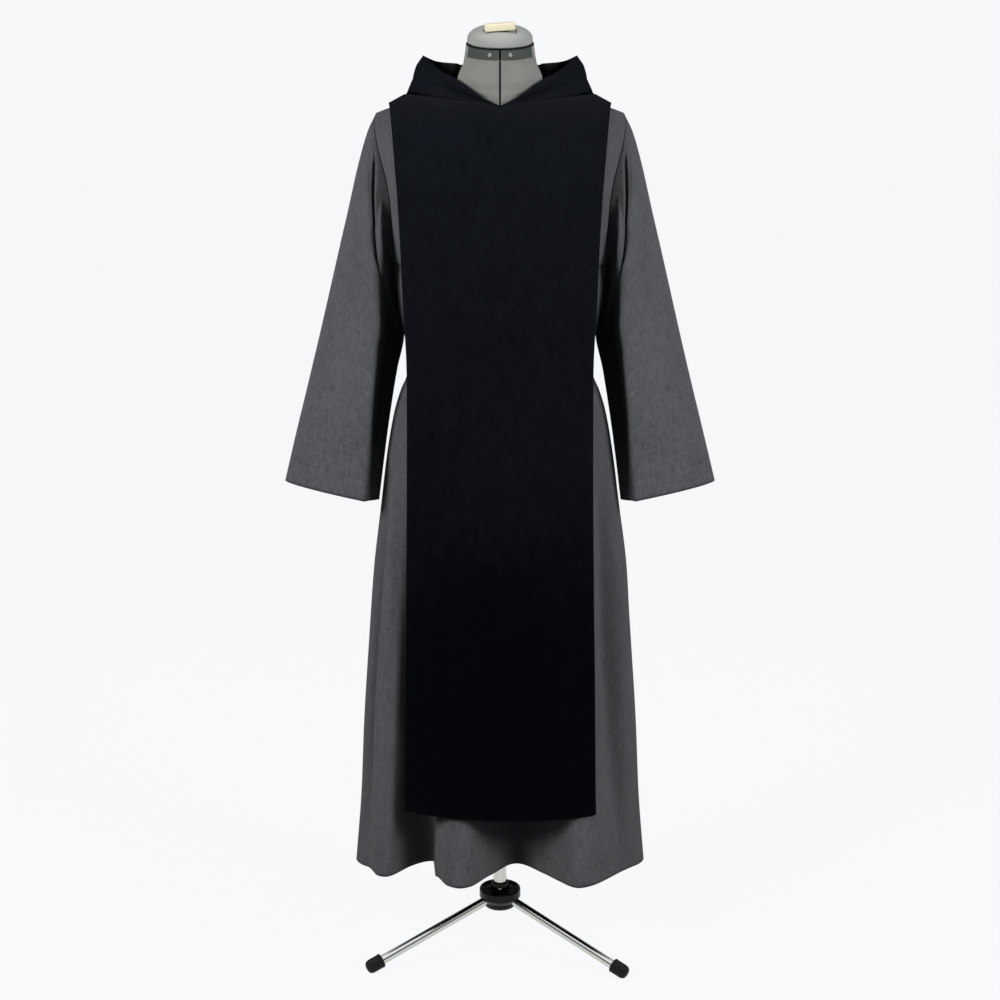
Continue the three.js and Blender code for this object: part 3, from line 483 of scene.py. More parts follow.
def moulded(name, tone, roughness, grain, coat=0.0, gloss=0.5):
    """A moulded plastic or rubber with a fine grain."""
    paint = Paint(bpy.data.materials.new(name))
    place = paint.object_place()
    speck = paint.noise(place, 1400.0, 2.0)
    scuff = paint.noise(place, 35.0, 4.0, 0.65)
    return paint.finish(
        base_color=paint.mix(scuff, darker(tone, 0.8), tone),
        roughness=roughness + (scuff - 0.5) * 0.12,
        specular_ior_level=gloss,
        coat_weight=coat,
        coat_roughness=0.06,
        normal=paint.bump(speck, grain, 0.4),
    )


# %% The form's and the stand's materials
JERSEY = jersey()
CHROME = metal("chrome", (0.86, 0.87, 0.86), 0.17, mottle=0.02)
BAND_METAL = metal("satin band metal", (0.62, 0.63, 0.62), 0.32, 0.85)
PLATE_METAL = metal("dark satin plate", (0.10, 0.118, 0.108), 0.38, 0.55)
CAP_LACQUER = metal("silver lacquer", (0.43, 0.44, 0.425), 0.55, 0.30, 0.05)
CREAM = moulded("cream plastic", (0.90, 0.82, 0.60), 0.45, 0.00005)
GLOSS_BLACK = moulded("gloss black", (0.006, 0.006, 0.007), 0.22, 0.00002, 0.10, 0.22)
RUBBER = moulded("black rubber", (0.009, 0.009, 0.010), 0.62, 0.00012, gloss=0.3)
# Near-black for painted shade: in the neck's gap and on the top of the band under the cap's lip.
GAP_SHADE = moulded("painted gap shade", (0.004, 0.004, 0.004), 0.9, 0.00002)
print("materials in all:", len(bpy.data.materials))


# %% [markdown]
# ## Smooth lines through short tables
#
# A tailor measures a garment at a few heights. Each table below does the same, and a smooth line
# through one of its columns gives that size at any height. The line is monotone: it never swings
# past the rows of its table, so it adds no bulge that nobody measured.

# %% Between two numbers
RIGHT_ANGLE = math.pi / 2


def mix(a, b, t):
    return a + (b - a) * t


def hold(value, low, high):
    return min(high, max(low, value))


def smooth(value, low, high):
    """Rises from 0 to 1 between two values."""
    t = hold((value - low) / (high - low), 0.0, 1.0)
    return t * t * (3 - 2 * t)


# %% Lines through a table
def line(rows, key, column):
    """A function: one column of a table, by another, with no swing past the rows."""
    xs = [row[key] for row in rows]
    ys = [row[column] for row in rows]
    slopes = [(ys[i + 1] - ys[i]) / (xs[i + 1] - xs[i]) for i in range(len(xs) - 1)]
    grades = [slopes[0]]
    for before, after in zip(slopes, slopes[1:]):
        product = before * after
        grades.append(0.0 if product <= 0 else 2 * product / (before + after))
    grades.append(slopes[-1])

    def value(place):
        place = hold(place, xs[0], xs[-1])
        i = 0
        while i < len(xs) - 2 and place > xs[i + 1]:
            i += 1
        width = xs[i + 1] - xs[i]
        t = (place - xs[i]) / width
        rise = t * t * (3 - 2 * t) * (ys[i + 1] - ys[i])
        return ys[i] + rise + width * t * (1 - t) * ((1 - t) * grades[i] - t * grades[i + 1])

    return value


def lines(rows, key):
    """A line for every other column of a table."""
    return {column: line(rows, key, column) for column in rows[0] if column != key}


def table(titles, *rows):
    """Rows with named columns. The titles are given once, as words."""
    names = titles.split()
    return [dict(zip(names, row)) for row in rows]


# %% Humps and creases
CREASE_REACH = 2.4
LONG_WAVES = 2.6


def crease_table(*rows):
    """Creases: each runs from one place to another, with its width and how far it stands out."""
    return table("x1 y1 x2 y2 width lift", *rows)


def hump(offset, below, above):
    """1 in the middle and 0 at the end of its spread."""
    share = abs(offset) / (below if offset < 0 else above)
    return 0.0 if share >= 1 else math.cos(share * RIGHT_ANGLE) ** 2


def crease_lift(rows, x, y):
    """How far a cloth stands out at a place, from soft troughs and ridges between two points."""
    lift = 0.0
    for row in rows:
        run = (row["x2"] - row["x1"], row["y2"] - row["y1"])
        length = math.hypot(*run)
        t = ((x - row["x1"]) * run[0] + (y - row["y1"]) * run[1]) / (length * length)
        if not 0 < t < 1:
            continue
        offset = ((x - row["x1"]) * run[1] - (y - row["y1"]) * run[0]) / length
        reach = offset / row["width"]
        if abs(reach) < CREASE_REACH:
            lift += row["lift"] * math.exp(-reach * reach) * math.sin(math.pi * t) ** 0.8
    return lift


def unevenness(x, y, seed, size=90.0, depth=0.7):
    """The gentle unevenness of hung cloth, longer along its length than across."""
    return depth * noise.noise(Vector((x / size, y / (size * LONG_WAVES), seed)))


# %% [markdown]
# ## From a grid to a cloth
#
# A sheet of cloth starts as a flat grid. A function gives the place of each of its points, and
# the grid's own two directions become its UV map, in real metres, so that the weave has its true
# size. Three attributes tell the wool where its hem and its seams are, and how much painted shade
# a place gets: in the depth of a fold, behind a sleeve's corner and under the hood's roll. A
# Solidify modifier then gives the sheet a thickness, towards the inside, so its outer face stays
# where it was laid.

# %% The sheet maker
CLOTH_THICKNESS = 1.1
FAR = 1000
TOUCHING = 0.01 * MM


def grid_skin(counts, size, place, edges=None, lift=None, tube=False, flip=False):
    """A bmesh grid laid by place(across, down): across runs from -1 to 1, and down from 0 to 1.

    size is its flat width and length. edges(across, down) gives the distances from the nearest
    seam and from the hem, and how much painted shade a place gets, from 0 to 1. lift(across, down)
    is how far the cloth stands out from where it was laid.
    """
    bm = bmesh.new()
    uv = bm.loops.layers.uv.new("cloth")
    seam, hem, fold = (bm.verts.layers.float.new(name) for name in ("seam", "hem", "fold"))
    bmesh.ops.create_grid(bm, x_segments=counts[0], y_segments=counts[1], size=1.0)
    spots = {}
    for vert in bm.verts:
        across, down = vert.co.x, (1 - vert.co.y) / 2
        spots[vert] = (-across if flip else across, down)
    for face in bm.faces:
        for loop in face.loops:
            across, down = spots[loop.vert]
            loop[uv].uv = ((across + 1) / 2 * size[0] * MM, (1 - down) * size[1] * MM)
    for vert, spot in spots.items():
        vert.co = at(*place(*spot))
        from_seam, from_hem, depth = edges(*spot) if edges else (FAR, FAR, 0)
        vert[seam], vert[hem], vert[fold] = from_seam * MM, from_hem * MM, depth
    if tube:
        bmesh.ops.remove_doubles(bm, verts=bm.verts, dist=TOUCHING)
    bm.normal_update()
    if lift:
        kept = [(vert, spot) for vert, spot in spots.items() if vert.is_valid]
        moves = [(vert, vert.normal * (lift(*spot) * MM)) for vert, spot in kept]
        for vert, move in moves:
            vert.co += move
    return bm


# %% A finished piece, and a piece of cloth
def finish_piece(bm, node, word, materials, body, sharp=None):
    """A piece that stands for a node of the frame, rides on a body, and is named after that node.

    Its faces are smooth, except at edges that are sharper than so many degrees.
    """
    piece = mesh_object(bm, f"{node}_{word}", materials)
    piece.data.shade_smooth()
    if sharp:
        piece.data.set_sharp_from_angle(angle=math.radians(sharp))
    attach(piece, body)
    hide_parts(node)
    print(piece.name, "has", len(piece.data.polygons), "faces")
    return piece


def cloth(bm, node, materials):
    """Gives a grid the thickness of cloth, and says what sheet it was cut from."""
    piece = finish_piece(bm, node, "cloth", materials, "form")
    shell = piece.modifiers.new("thickness", "SOLIDIFY")
    shell.thickness = CLOTH_THICKNESS * MM
    shell.offset = -1
    shell.use_rim = True
    shell.material_offset = len(materials) - 1


# %% [markdown]
# ## The tunic's front and back
#
# Each panel hangs from the shoulder seam. Over the shoulder it follows a quarter of an ellipse,
# down to the chest. Below that, level sections give its half width and its depth. A skirt's
# fullness falls into folds that grow towards the hem, so a fold here is a hump across the
# section, times how far down it is.

# %% The tunic's sizes
FRONT, BACK = -1, 1
LEFT, RIGHT = 1, -1
SIDES = {"left": LEFT, "right": RIGHT}
HEM_Z = 190
UNDERARM_Z = 1302
SHOULDER_Z = 1560
NECK_POINT_Z = 1594
CHEST_Z = (SHOULDER_Z + UNDERARM_Z) / 2
ARMHOLE_RISE = (SHOULDER_Z - UNDERARM_Z) / 2
SEAM = 0.3
TUNIC_SIZE = (860, 1420)
TUNIC_GRID = (150, 220)

TUNIC_SECTIONS = table(
    "z side front back seam",
    (190, 270, 125, 126, -34),
    (320, 259, 127, 125, -26),
    (460, 252, 127, 124, -18),
    (600, 242, 126, 122, -11),
    (750, 230, 124, 120, -5),
    (863, 216, 122, 117, 0),
    (950, 205, 120, 114, 0),
    (1034, 190, 117, 108, 0),
    (1074, 178, 115, 104, 0),
    (1103, 166, 113, 101, 0),
    (1130, 163, 113, 100, 0),
    (1180, 171, 115, 103, 0),
    (1240, 182, 120, 109, 0),
    (1302, 186, 125, 114, 0),
    (1437, 193, 128, 116, 0),
)
ARMHOLE = table(
    "z out",
    (1302, 186), (1345, 186), (1403, 188), (1437, 193),
    (1490, 206), (1520, 213), (1545, 216), (1560, 214),
)
ARMHOLE_DEPTH = 58
TUNIC_SQUARE = 2.2
SHOULDER_ROUND = 0.2
TUNIC_NECK = dict(half=78, share=3 / 13)
TUNIC_NECK_DEPTH = {FRONT: (76, 53), BACK: (80, 36)}
YOKE_SHARE = 0.16
ARMHOLE_SHARE = 0.10
AT_EDGE = 0.001

tunic_size = lines(TUNIC_SECTIONS, "z")
armhole_out = line(ARMHOLE, "z", "out")
for place, z in (("chest", CHEST_Z), ("underarm", UNDERARM_Z), ("hem", HEM_Z)):
    print("the tunic's", place, "is", round(2 * tunic_size["side"](z)), "mm wide")


# %% The skirt's folds
SKIRT_FOLDS = {
    FRONT: table(
        "share right left out start",
        (-0.83, 0.08, 0.22, 34, 1000),
        (-0.46, 0.33, 0.02, -65, 960),
        (-0.35, 0.09, 0.15, 38, 860),
        (-0.22, 0.15, 0.15, 42, 860),
        (0.11, 0.24, 0.28, -62, 900),
        (0.54, 0.24, 0.42, 56, 880),
    ),
    BACK: table(
        "share right left out start",
        (-0.84, 0.18, 0.20, 34, 980),
        (-0.55, 0.16, 0.18, -34, 860),
        (-0.24, 0.24, 0.17, 42, 900),
        (0.04, 0.18, 0.22, -46, 880),
        (0.38, 0.22, 0.17, 38, 840),
        (0.66, 0.17, 0.16, -24, 820),
        (0.87, 0.16, 0.16, 30, 960),
    ),
}
SKIRT_FOLD_GROWTH = 1.2
# How far in a fold goes before it gets the full painted shade.
FOLD_DEEP = 125


def skirt_fold(face, share, z):
    """How far the skirt's folds stand out here. They grow from where they start to the hem."""
    out = 0.0
    for fold in SKIRT_FOLDS[face]:
        if z < fold["start"]:
            growth = ((fold["start"] - z) / (fold["start"] - HEM_Z)) ** SKIRT_FOLD_GROWTH
            out += fold["out"] * growth * hump(share - fold["share"], fold["right"], fold["left"])
    return out * (1 - abs(share) ** 8)


# %% A level section of the tunic
def sign(value):
    return -1.0 if value < 0 else 1.0


def tunic_edge(face, z):
    """The armhole above the underarm and the side seam below it, as (x, y)."""
    if z <= UNDERARM_Z:
        return tunic_size["side"](z), tunic_size["seam"](z)
    rise = hold((z - CHEST_Z) / ARMHOLE_RISE, -1, 1)
    return armhole_out(z), face * ARMHOLE_DEPTH * math.sqrt(1 - rise * rise)


def tunic_share(across):
    """How far a place stands from the middle, as a share of the half width."""
    return sign(across) * abs(math.sin(across * RIGHT_ANGLE)) ** (2 / TUNIC_SQUARE)


def tunic_level(face, across, z):
    """A place on a level section of a panel."""
    edge_x, edge_y = tunic_edge(face, z)
    share = tunic_share(across)
    depth = max(0.0, math.cos(across * RIGHT_ANGLE)) ** (2 / TUNIC_SQUARE)
    middle = face * tunic_size["front" if face == FRONT else "back"](z)
    y = edge_y + (middle - edge_y) * depth + face * skirt_fold(face, share, z)
    return edge_x * share, y, z


# %% From the shoulder to the hem
def tunic_top(face, across):
    """The neckline in the middle, and a shoulder seam on each side of it."""
    reach, side, neck = abs(across), sign(across), TUNIC_NECK
    if reach <= neck["share"]:
        turn = reach / neck["share"] * RIGHT_ANGLE
        depth, drop = TUNIC_NECK_DEPTH[face]
        level = max(0.0, math.cos(turn))
        x, y = side * neck["half"] * math.sin(turn), face * depth * level**0.6
        return x, y, NECK_POINT_Z - drop * level**1.5
    t = (reach - neck["share"]) / (1 - neck["share"])
    slope = mix(t, t**5, SHOULDER_ROUND)
    x = side * mix(neck["half"], armhole_out(SHOULDER_Z), t)
    return x, 0.0, mix(NECK_POINT_Z, SHOULDER_Z, slope)


def over_shoulder(top, chest, down, sideways):
    """From a point on the shoulder to one on the chest, as a quarter of an ellipse."""
    turn = down * RIGHT_ANGLE
    return (
        mix(top[0], chest[0], sideways),
        mix(top[1], chest[1], math.sin(turn)),
        mix(chest[2], top[2], math.cos(turn)),
    )


def tunic_point(face, across, down):
    """A place on a panel: down runs from 0 at the shoulder to 1 at the hem."""
    if down <= YOKE_SHARE:
        part = down / YOKE_SHARE
        edge_z = CHEST_Z + ARMHOLE_RISE * math.cos(part * RIGHT_ANGLE)
        out = armhole_out(SHOULDER_Z)
        sideways = (armhole_out(edge_z) - out) / (armhole_out(CHEST_Z) - out)
        top, chest = tunic_top(face, across), tunic_level(face, across, CHEST_Z)
        point = over_shoulder(top, chest, part, sideways)
    elif down <= YOKE_SHARE + ARMHOLE_SHARE:
        part = (down - YOKE_SHARE) / ARMHOLE_SHARE
        point = tunic_level(face, across, CHEST_Z - ARMHOLE_RISE * math.sin(part * RIGHT_ANGLE))
    else:
        part = (down - YOKE_SHARE - ARMHOLE_SHARE) / (1 - YOKE_SHARE - ARMHOLE_SHARE)
        point = tunic_level(face, across, mix(UNDERARM_Z, HEM_Z, part))
    sewn = abs(across) > 1 - AT_EDGE and down > YOKE_SHARE + ARMHOLE_SHARE
    sewn = sewn or (down < AT_EDGE and abs(across) >= TUNIC_NECK["share"])
    return (point[0], point[1] + face * SEAM / 2, point[2]) if sewn else point


# %% [markdown]
# The small creases are listed one by one. Each row is a soft trough or ridge between two
# places on the panel, in millimetres across from its middle and up from the floor, with its
# width and how far it stands out. No two are alike, because drag lines and hanging folds never
# are.

# %% The tunic's creases
TUNIC_CREASES = {
    FRONT: crease_table(
        (-184, 960, -234, 190, 8, 14.0),
        (-200, 960, -253, 215, 8, -18.0),
        (-160, 960, -168, 420, 13, -9.0),
        (214, 1000, 246, 240, 10, 3.0),
        (179, 1000, 223, 190, 14, -22.0),
        (158, 860, 170, 210, 9, 3.0),
        (236, 760, 250, 210, 10, -2.2),
        (120, 760, 136, 220, 14, -2.0),
        (-40, 700, -52, 210, 14, 2.0),
        (40, 640, 34, 200, 15, -2.0),
        (-178, 1500, -160, 1330, 8, -2.2),
        (176, 1500, 158, 1320, 8, -2.4),
        (-168, 1330, -110, 1240, 9, -2.5),
        (168, 1340, 104, 1230, 9, -2.5),
        (-150, 1180, -60, 1130, 10, -2.0),
        (150, 1170, 70, 1120, 10, -2.0),
        (-150, 1090, -186, 980, 8, -2.0),
        (152, 1100, 188, 970, 8, -2.2),
    ),
    BACK: crease_table(
        (-210, 1000, -224, 250, 10, 3.0),
        (-190, 960, -196, 230, 9, -3.0),
        (-150, 860, -160, 230, 12, 2.4),
        (-96, 780, -110, 210, 12, -2.4),
        (-20, 820, -30, 230, 14, 2.2),
        (70, 760, 84, 220, 12, -2.2),
        (140, 880, 150, 240, 12, 2.4),
        (196, 980, 208, 220, 9, -3.0),
        (230, 780, 246, 210, 11, 2.2),
        (-176, 1490, -156, 1320, 8, -2.4),
        (178, 1500, 160, 1330, 8, -2.2),
        (-166, 1330, -100, 1230, 9, -2.6),
        (164, 1320, 96, 1240, 9, -2.4),
        (150, 1160, 60, 1120, 10, -2.0),
    ),
}


# %% The tunic's two pieces
SIDE_TO_MIDDLE = 400
SHOULDER_TO_HEM = 1400


def make_tunic(word, face):
    def place(across, down):
        return tunic_point(face, across, down)

    def creased(x, z):
        return crease_lift(TUNIC_CREASES[face], x, z)

    def lift(across, down):
        x, _, z = place(across, down)
        calm = smooth(1 - abs(across), 0.0, 0.09) * smooth(down, 0.0, 0.04)
        return (creased(x, z) + unevenness(x, z, 2.0 + face)) * calm

    def edges(across, down):
        x, _, z = place(across, down)
        side = (1 - abs(across)) * SIDE_TO_MIDDLE
        shoulder = down * SHOULDER_TO_HEM if abs(across) > TUNIC_NECK["share"] else FAR
        # The third value is painted shade, by how far the cloth goes in at a fold.
        out = skirt_fold(face, tunic_share(across), z) + creased(x, z)
        return min(side, shoulder), z - HEM_Z, hold(-out / FOLD_DEEP, 0, 1)

    bm = grid_skin(TUNIC_GRID, TUNIC_SIZE, place, edges, lift, flip=face == BACK)
    cloth(bm, f"tunic_{word}", [GREY_WOOL])


make_tunic("front", FRONT)
make_tunic("back", BACK)


# %% [markdown]
# ## The sleeves
#
# A habit's sleeve is one wide tube. Hung straight down it isn't round: its front lies flat and
# turns back at a blunt corner near the body, and the strip behind that corner lies deep in shade.
# The rings below go from the armhole to the cuff, and their corner moves towards the body on the
# way down. At the armhole the tube blends into the tunic's own edge.

# %% The sleeve's sizes
SLEEVE_RINGS = table(
    "along out_x out_z in_x in_z depth fore nose corner tuck",
    (0.00, 214, 1560, 186, 1302, 58, 0, 0, 0.50, 0.00),
    (0.08, 229, 1530, 186.2, 1285, 66, 0, 6, 0.50, 0.00),
    (0.20, 245, 1478, 182.8, 1262, 72, 1, 20, 0.51, 0.03),
    (0.35, 266, 1393, 178, 1222, 74, 3, 28, 0.55, 0.20),
    (0.50, 287, 1308, 171.5, 1172, 71, 6, 26, 0.65, 0.70),
    (0.65, 311, 1210, 184, 1110, 63, 9, 14, 0.72, 0.85),
    (0.80, 342, 1088, 199, 1020, 54, 12, 6, 0.785, 0.80),
    (0.90, 365, 1000, 209, 948, 47, 14, 2, 0.83, 0.50),
    (1.00, 387, 913, 218, 877, 41, 16, 0, 0.85, 0.20),
)
SLEEVE_FOLDS = table(
    "high low start end spread out",
    (57, 130, 0.03, 0.43, 8.5, -24),
    (103, 134, 0.05, 0.46, 19, 26),
    (262, 236, 0.06, 0.46, 28, -12),
)
ARMHOLE_BLEND = 0.14
SEWN_CALM = 0.05
SLEEVE_SQUARE = 2.3
TUCK_WIDTH = 0.42
TUCK_END = -0.3
SLEEVE_SIZE = SLEEVE_GIRTH, SLEEVE_LENGTH = (500, 690)
SLEEVE_GRID = (112, 130)

sleeve_size = lines(SLEEVE_RINGS, "along")
cuff = sleeve_size["out_x"](1) - sleeve_size["in_x"](1)
print("a cuff is", cuff, "mm wide from the front")


# %% The sleeve's surface
def armhole_point(side, turn):
    """The place on the armhole's edge that the sleeve is sewn to."""
    z = CHEST_Z + ARMHOLE_RISE * math.cos(turn)
    return Vector((side * (armhole_out(z) + SEAM), -ARMHOLE_DEPTH * math.sin(turn), z))


def sleeve_section(turn, corner, tuck):
    """How far a place has come from the outer to the inner edge, and how far it is forward."""
    forward, outward = math.sin(turn), math.cos(turn)
    if forward < 0:
        return 0.5 - 0.5 * outward, forward
    round_out = forward ** (2 / SLEEVE_SQUARE)
    if outward >= 0:
        return corner * (1 - outward), round_out
    past = hold(turn / RIGHT_ANGLE - 1, 0, 1)
    step = min(1, past / TUCK_WIDTH)
    tucked = mix(1, TUCK_END, step * step * (3 - 2 * step)) * math.sqrt(1 - past**4)
    return mix(corner, 1, past ** mix(1, 1.3, tuck)), mix(round_out, tucked, tuck)


def sleeve_ring(side, turn, along):
    """A place on the tube. The turn goes round from its outer edge by way of the front."""
    size = {name: value(along) for name, value in sleeve_size.items()}
    outer = Vector((side * size["out_x"], 0, size["out_z"]))
    inner = Vector((side * size["in_x"], 0, size["in_z"]))
    share, out = sleeve_section(turn, size["corner"], size["tuck"])
    point = outer.lerp(inner, share)
    depth = size["depth"]
    for fold in SLEEVE_FOLDS:
        if fold["start"] < along < fold["end"]:
            t = (along - fold["start"]) / (fold["end"] - fold["start"])
            offset = math.degrees(turn) - mix(fold["high"], fold["low"], t)
            height = fold["out"] * math.sin(math.pi * t) ** 0.7
            depth += height * hump(offset, fold["spread"], fold["spread"])
    point.y = size["nose"] * max(0, 2 * share - 1) ** 2 - depth * out - size["fore"]
    return point


def sleeve_point(side, turn, along):
    """The same place, drawn to the tunic's armhole near the top."""
    point = sleeve_ring(side, turn, along)
    if along < ARMHOLE_BLEND:
        shift = armhole_point(side, turn) - sleeve_ring(side, turn, 0)
        point += shift * (1 - along / ARMHOLE_BLEND) ** 2
    return point


# %% The sleeves' creases
# Places on the sleeve: x is round it from its outer edge by way of the front, y is up from the
# cuff.
SLEEVE_CREASES = crease_table(
    (60, 655, 140, 470, 9, -4.0),
    (110, 640, 172, 400, 8, 3.0),
    (150, 560, 205, 330, 9, -5.0),
    (190, 520, 222, 300, 8, 3.0),
    (120, 380, 196, 300, 11, -1.6),
    (90, 300, 176, 240, 13, -1.2),
    (60, 420, 90, 130, 16, -1.3),
    (110, 260, 122, 40, 15, 1.2),
    (150, 230, 168, 30, 14, -1.4),
    (186, 280, 194, 20, 9, 1.8),
    (400, 640, 350, 430, 10, -4.0),
    (360, 540, 310, 330, 10, 3.0),
    (440, 420, 420, 120, 15, -1.5),
    (340, 300, 350, 60, 13, 1.5),
)


# %% The two sleeves
def make_sleeve(word, side):
    def place(across, down):
        return sleeve_point(side, (across + 1) * math.pi, down)

    def lift(across, down):
        x = (across + 1) / 2 * SLEEVE_GIRTH
        y = (1 - down) * SLEEVE_LENGTH
        shape = crease_lift(SLEEVE_CREASES, x, y) + unevenness(x, y, 5.0 + side)
        return shape * hold(down / SEWN_CALM, 0, 1)

    def edges(across, down):
        armhole = down * SLEEVE_LENGTH
        under_arm = abs(across) * SLEEVE_GIRTH / 2
        # Painted shade on the strip behind the sleeve's corner, as deep as its tuck.
        past = 1 + 2 * across
        behind = smooth(past, 0.05, 0.4) * (1 - smooth(past, 1.0, 1.3))
        depth = sleeve_size["tuck"](down) * behind
        return min(armhole, under_arm), (1 - down) * SLEEVE_LENGTH, depth

    bm = grid_skin(SLEEVE_GRID, SLEEVE_SIZE, place, edges, lift, tube=True, flip=side == LEFT)
    cloth(bm, f"sleeve_{word}", [GREY_WOOL])


for word, side in SIDES.items():
    make_sleeve(word, side)


# %% [markdown]
# ## The scapular
#
# A scapular is two plain panels joined at the shoulders. It's wide and flat, and it bows a little
# over the folds beneath, so its creases are long, shallow and few.

# %% The scapular's sizes
SCAPULAR_SECTIONS = {
    FRONT: table(
        "z half middle edge turn",
        (323, 173.5, 178, 139, 9),
        (400, 172, 174, 133, 7),
        (550, 170, 166, 122, 5),
        (750, 166.5, 157, 111, 2),
        (900, 164, 147, 102, 0),
        (1000, 163, 139, 95, 0),
        (1115, 162.5, 134, 88, 0),
        (1250, 168, 136, 89, 0),
        (1350, 171, 137, 95, 0),
        (1437, 175, 135, 101, 0),
    ),
    BACK: table(
        "z half middle edge turn",
        (323, 174, 170, 134, -4),
        (400, 172, 166, 127, -3),
        (550, 170, 158, 118, -2),
        (750, 167, 147, 107, 0),
        (900, 165, 136, 97, 0),
        (1000, 164, 127, 88, 0),
        (1115, 163, 118, 78, 0),
        (1250, 169, 121, 80, 0),
        (1350, 171, 124, 86, 0),
        (1437, 175, 124, 94, 0),
    ),
}
SCAPULAR_SHOULDER = dict(half=193, z=1576.5)
SCAPULAR_NECK = dict(half=164, z=1592)
SCAPULAR_NECK_DEPTH = {FRONT: (80, 1570), BACK: (88, 1571)}
SCAPULAR_NECK_SHARE = 5 / 7
SCAPULAR_HEM_Z = 323
SCAPULAR_YOKE_SHARE = 0.16
# How far below its neckline the scapular is painted dark, as the shadow of the hood's roll hanging
# over it.
ROLL_COVERS = 10
SCAPULAR_WIDTH = 386
SCAPULAR_LENGTH = {FRONT: 1330, BACK: 1310}
SCAPULAR_GRID = (90, 190)
SCAPULAR_DROP = 1300

scapular_size = {face: lines(rows, "z") for face, rows in SCAPULAR_SECTIONS.items()}
print("the scapular's hem is", 2 * scapular_size[FRONT]["half"](SCAPULAR_HEM_Z), "mm wide")


# %% The scapular's creases
SCAPULAR_CREASES = {
    FRONT: crease_table(
        (-4, 1120, -14, 330, 17, -4.2),
        (-66, 1060, -70, 330, 30, 2.6),
        (58, 1020, 50, 330, 13, -3.6),
        (26, 1000, 22, 330, 15, 2.0),
        (112, 1260, 116, 900, 15, -2.6),
        (104, 860, 96, 330, 22, 2.2),
        (-128, 1240, -124, 860, 14, -2.4),
        (-136, 900, -142, 330, 13, -2.0),
        (146, 760, 144, 330, 12, -2.2),
        (-112, 1560, -96, 1330, 15, -2.4),
        (118, 1560, 100, 1340, 15, -2.4),
        (-30, 1500, -20, 1240, 20, 1.6),
        (44, 1480, 30, 1200, 22, -1.6),
    ),
    BACK: crease_table(
        (10, 1240, 16, 330, 18, -3.6),
        (-52, 1180, -60, 330, 22, 2.6),
        (-112, 1240, -104, 330, 15, -3.0),
        (64, 1100, 72, 330, 16, 2.6),
        (122, 1220, 118, 330, 14, -2.8),
        (-140, 1000, -146, 330, 12, 2.0),
        (146, 900, 150, 330, 12, 1.8),
        (-110, 1540, -98, 1340, 15, -2.4),
        (112, 1540, 96, 1330, 15, -2.4),
    ),
}


# %% The scapular's surface
def scapular_level(face, across, z):
    """A place on a level section of a panel."""
    size = scapular_size[face]
    middle = size["middle"](z)
    depth = mix(middle, size["edge"](z), abs(across) ** 2.4) + size["turn"](z) * across
    return size["half"](z) * across, face * depth, z


def scapular_top(face, across):
    """The neckline in the middle, and a shoulder seam on each side of it."""
    reach, side, neck = abs(across), sign(across), SCAPULAR_NECK
    if reach <= SCAPULAR_NECK_SHARE:
        share = reach / SCAPULAR_NECK_SHARE
        depth, low = SCAPULAR_NECK_DEPTH[face]
        if face == FRONT:
            out, up = (1 - share) ** 0.8, share**0.6
        else:
            out, up = math.sqrt(1 - share * share), share**2
        return side * neck["half"] * share, face * depth * out, mix(low, neck["z"], up)
    t = (reach - SCAPULAR_NECK_SHARE) / (1 - SCAPULAR_NECK_SHARE)
    x = side * mix(neck["half"], SCAPULAR_SHOULDER["half"], t)
    return x, 0.0, mix(neck["z"], SCAPULAR_SHOULDER["z"], t)


def scapular_point(face, across, down):
    """A place on a panel: down runs from 0 at the shoulder to 1 at the chest and 2 at the hem."""
    if down <= 1:
        chest = scapular_level(face, across, CHEST_Z)
        return over_shoulder(scapular_top(face, across), chest, down, down)
    return scapular_level(face, across, mix(CHEST_Z, SCAPULAR_HEM_Z, down - 1))


# %% The scapular's two panels
def scapular_down(down):
    """From a panel's share of its own length to the surface's two stretches."""
    if down <= SCAPULAR_YOKE_SHARE:
        return down / SCAPULAR_YOKE_SHARE
    return 1 + (down - SCAPULAR_YOKE_SHARE) / (1 - SCAPULAR_YOKE_SHARE)


def make_scapular(word, face):
    def spot(across, down):
        return scapular_point(face, across, scapular_down(down))

    def place(across, down):
        x, y, z = spot(across, down)
        sewn = down < AT_EDGE and abs(across) >= SCAPULAR_NECK_SHARE
        return x, y + (face * SEAM / 2 if sewn else 0), z

    def lift(across, down):
        x, _, z = spot(across, down)
        bow = unevenness(x, z, 9.0 + face, size=120.0, depth=0.9)
        return crease_lift(SCAPULAR_CREASES[face], x, z) + bow

    def edges(across, down):
        # Below the hood's roll the seam distance is held at 0, which paints the roll's shadow on
        # the scapular.
        under_hood = ROLL_COVERS if abs(across) < SCAPULAR_NECK_SHARE else 0
        from_seam = max(0, down * SCAPULAR_DROP - under_hood)
        return from_seam, spot(across, down)[2] - SCAPULAR_HEM_Z, 0

    size = (SCAPULAR_WIDTH, SCAPULAR_LENGTH[face])
    bm = grid_skin(SCAPULAR_GRID, size, place, edges, lift, flip=face == BACK)
    cloth(bm, f"scapular_{word}", [BLACK_WOOL])


make_scapular("front", FRONT)
make_scapular("back", BACK)


# %% [markdown]
# ## The hood
#
# The hood is two mirrored halves, sewn together from the throat over the back. Worn down, it
# stands as a high collar in front and falls behind the neck into an open pouch. Each half is one
# grid. Round from the throat to the middle of the back it follows a free edge, and it goes up
# from the seam on the scapular's neckline to that edge. Behind its tip it first runs down the
# back and then turns up.

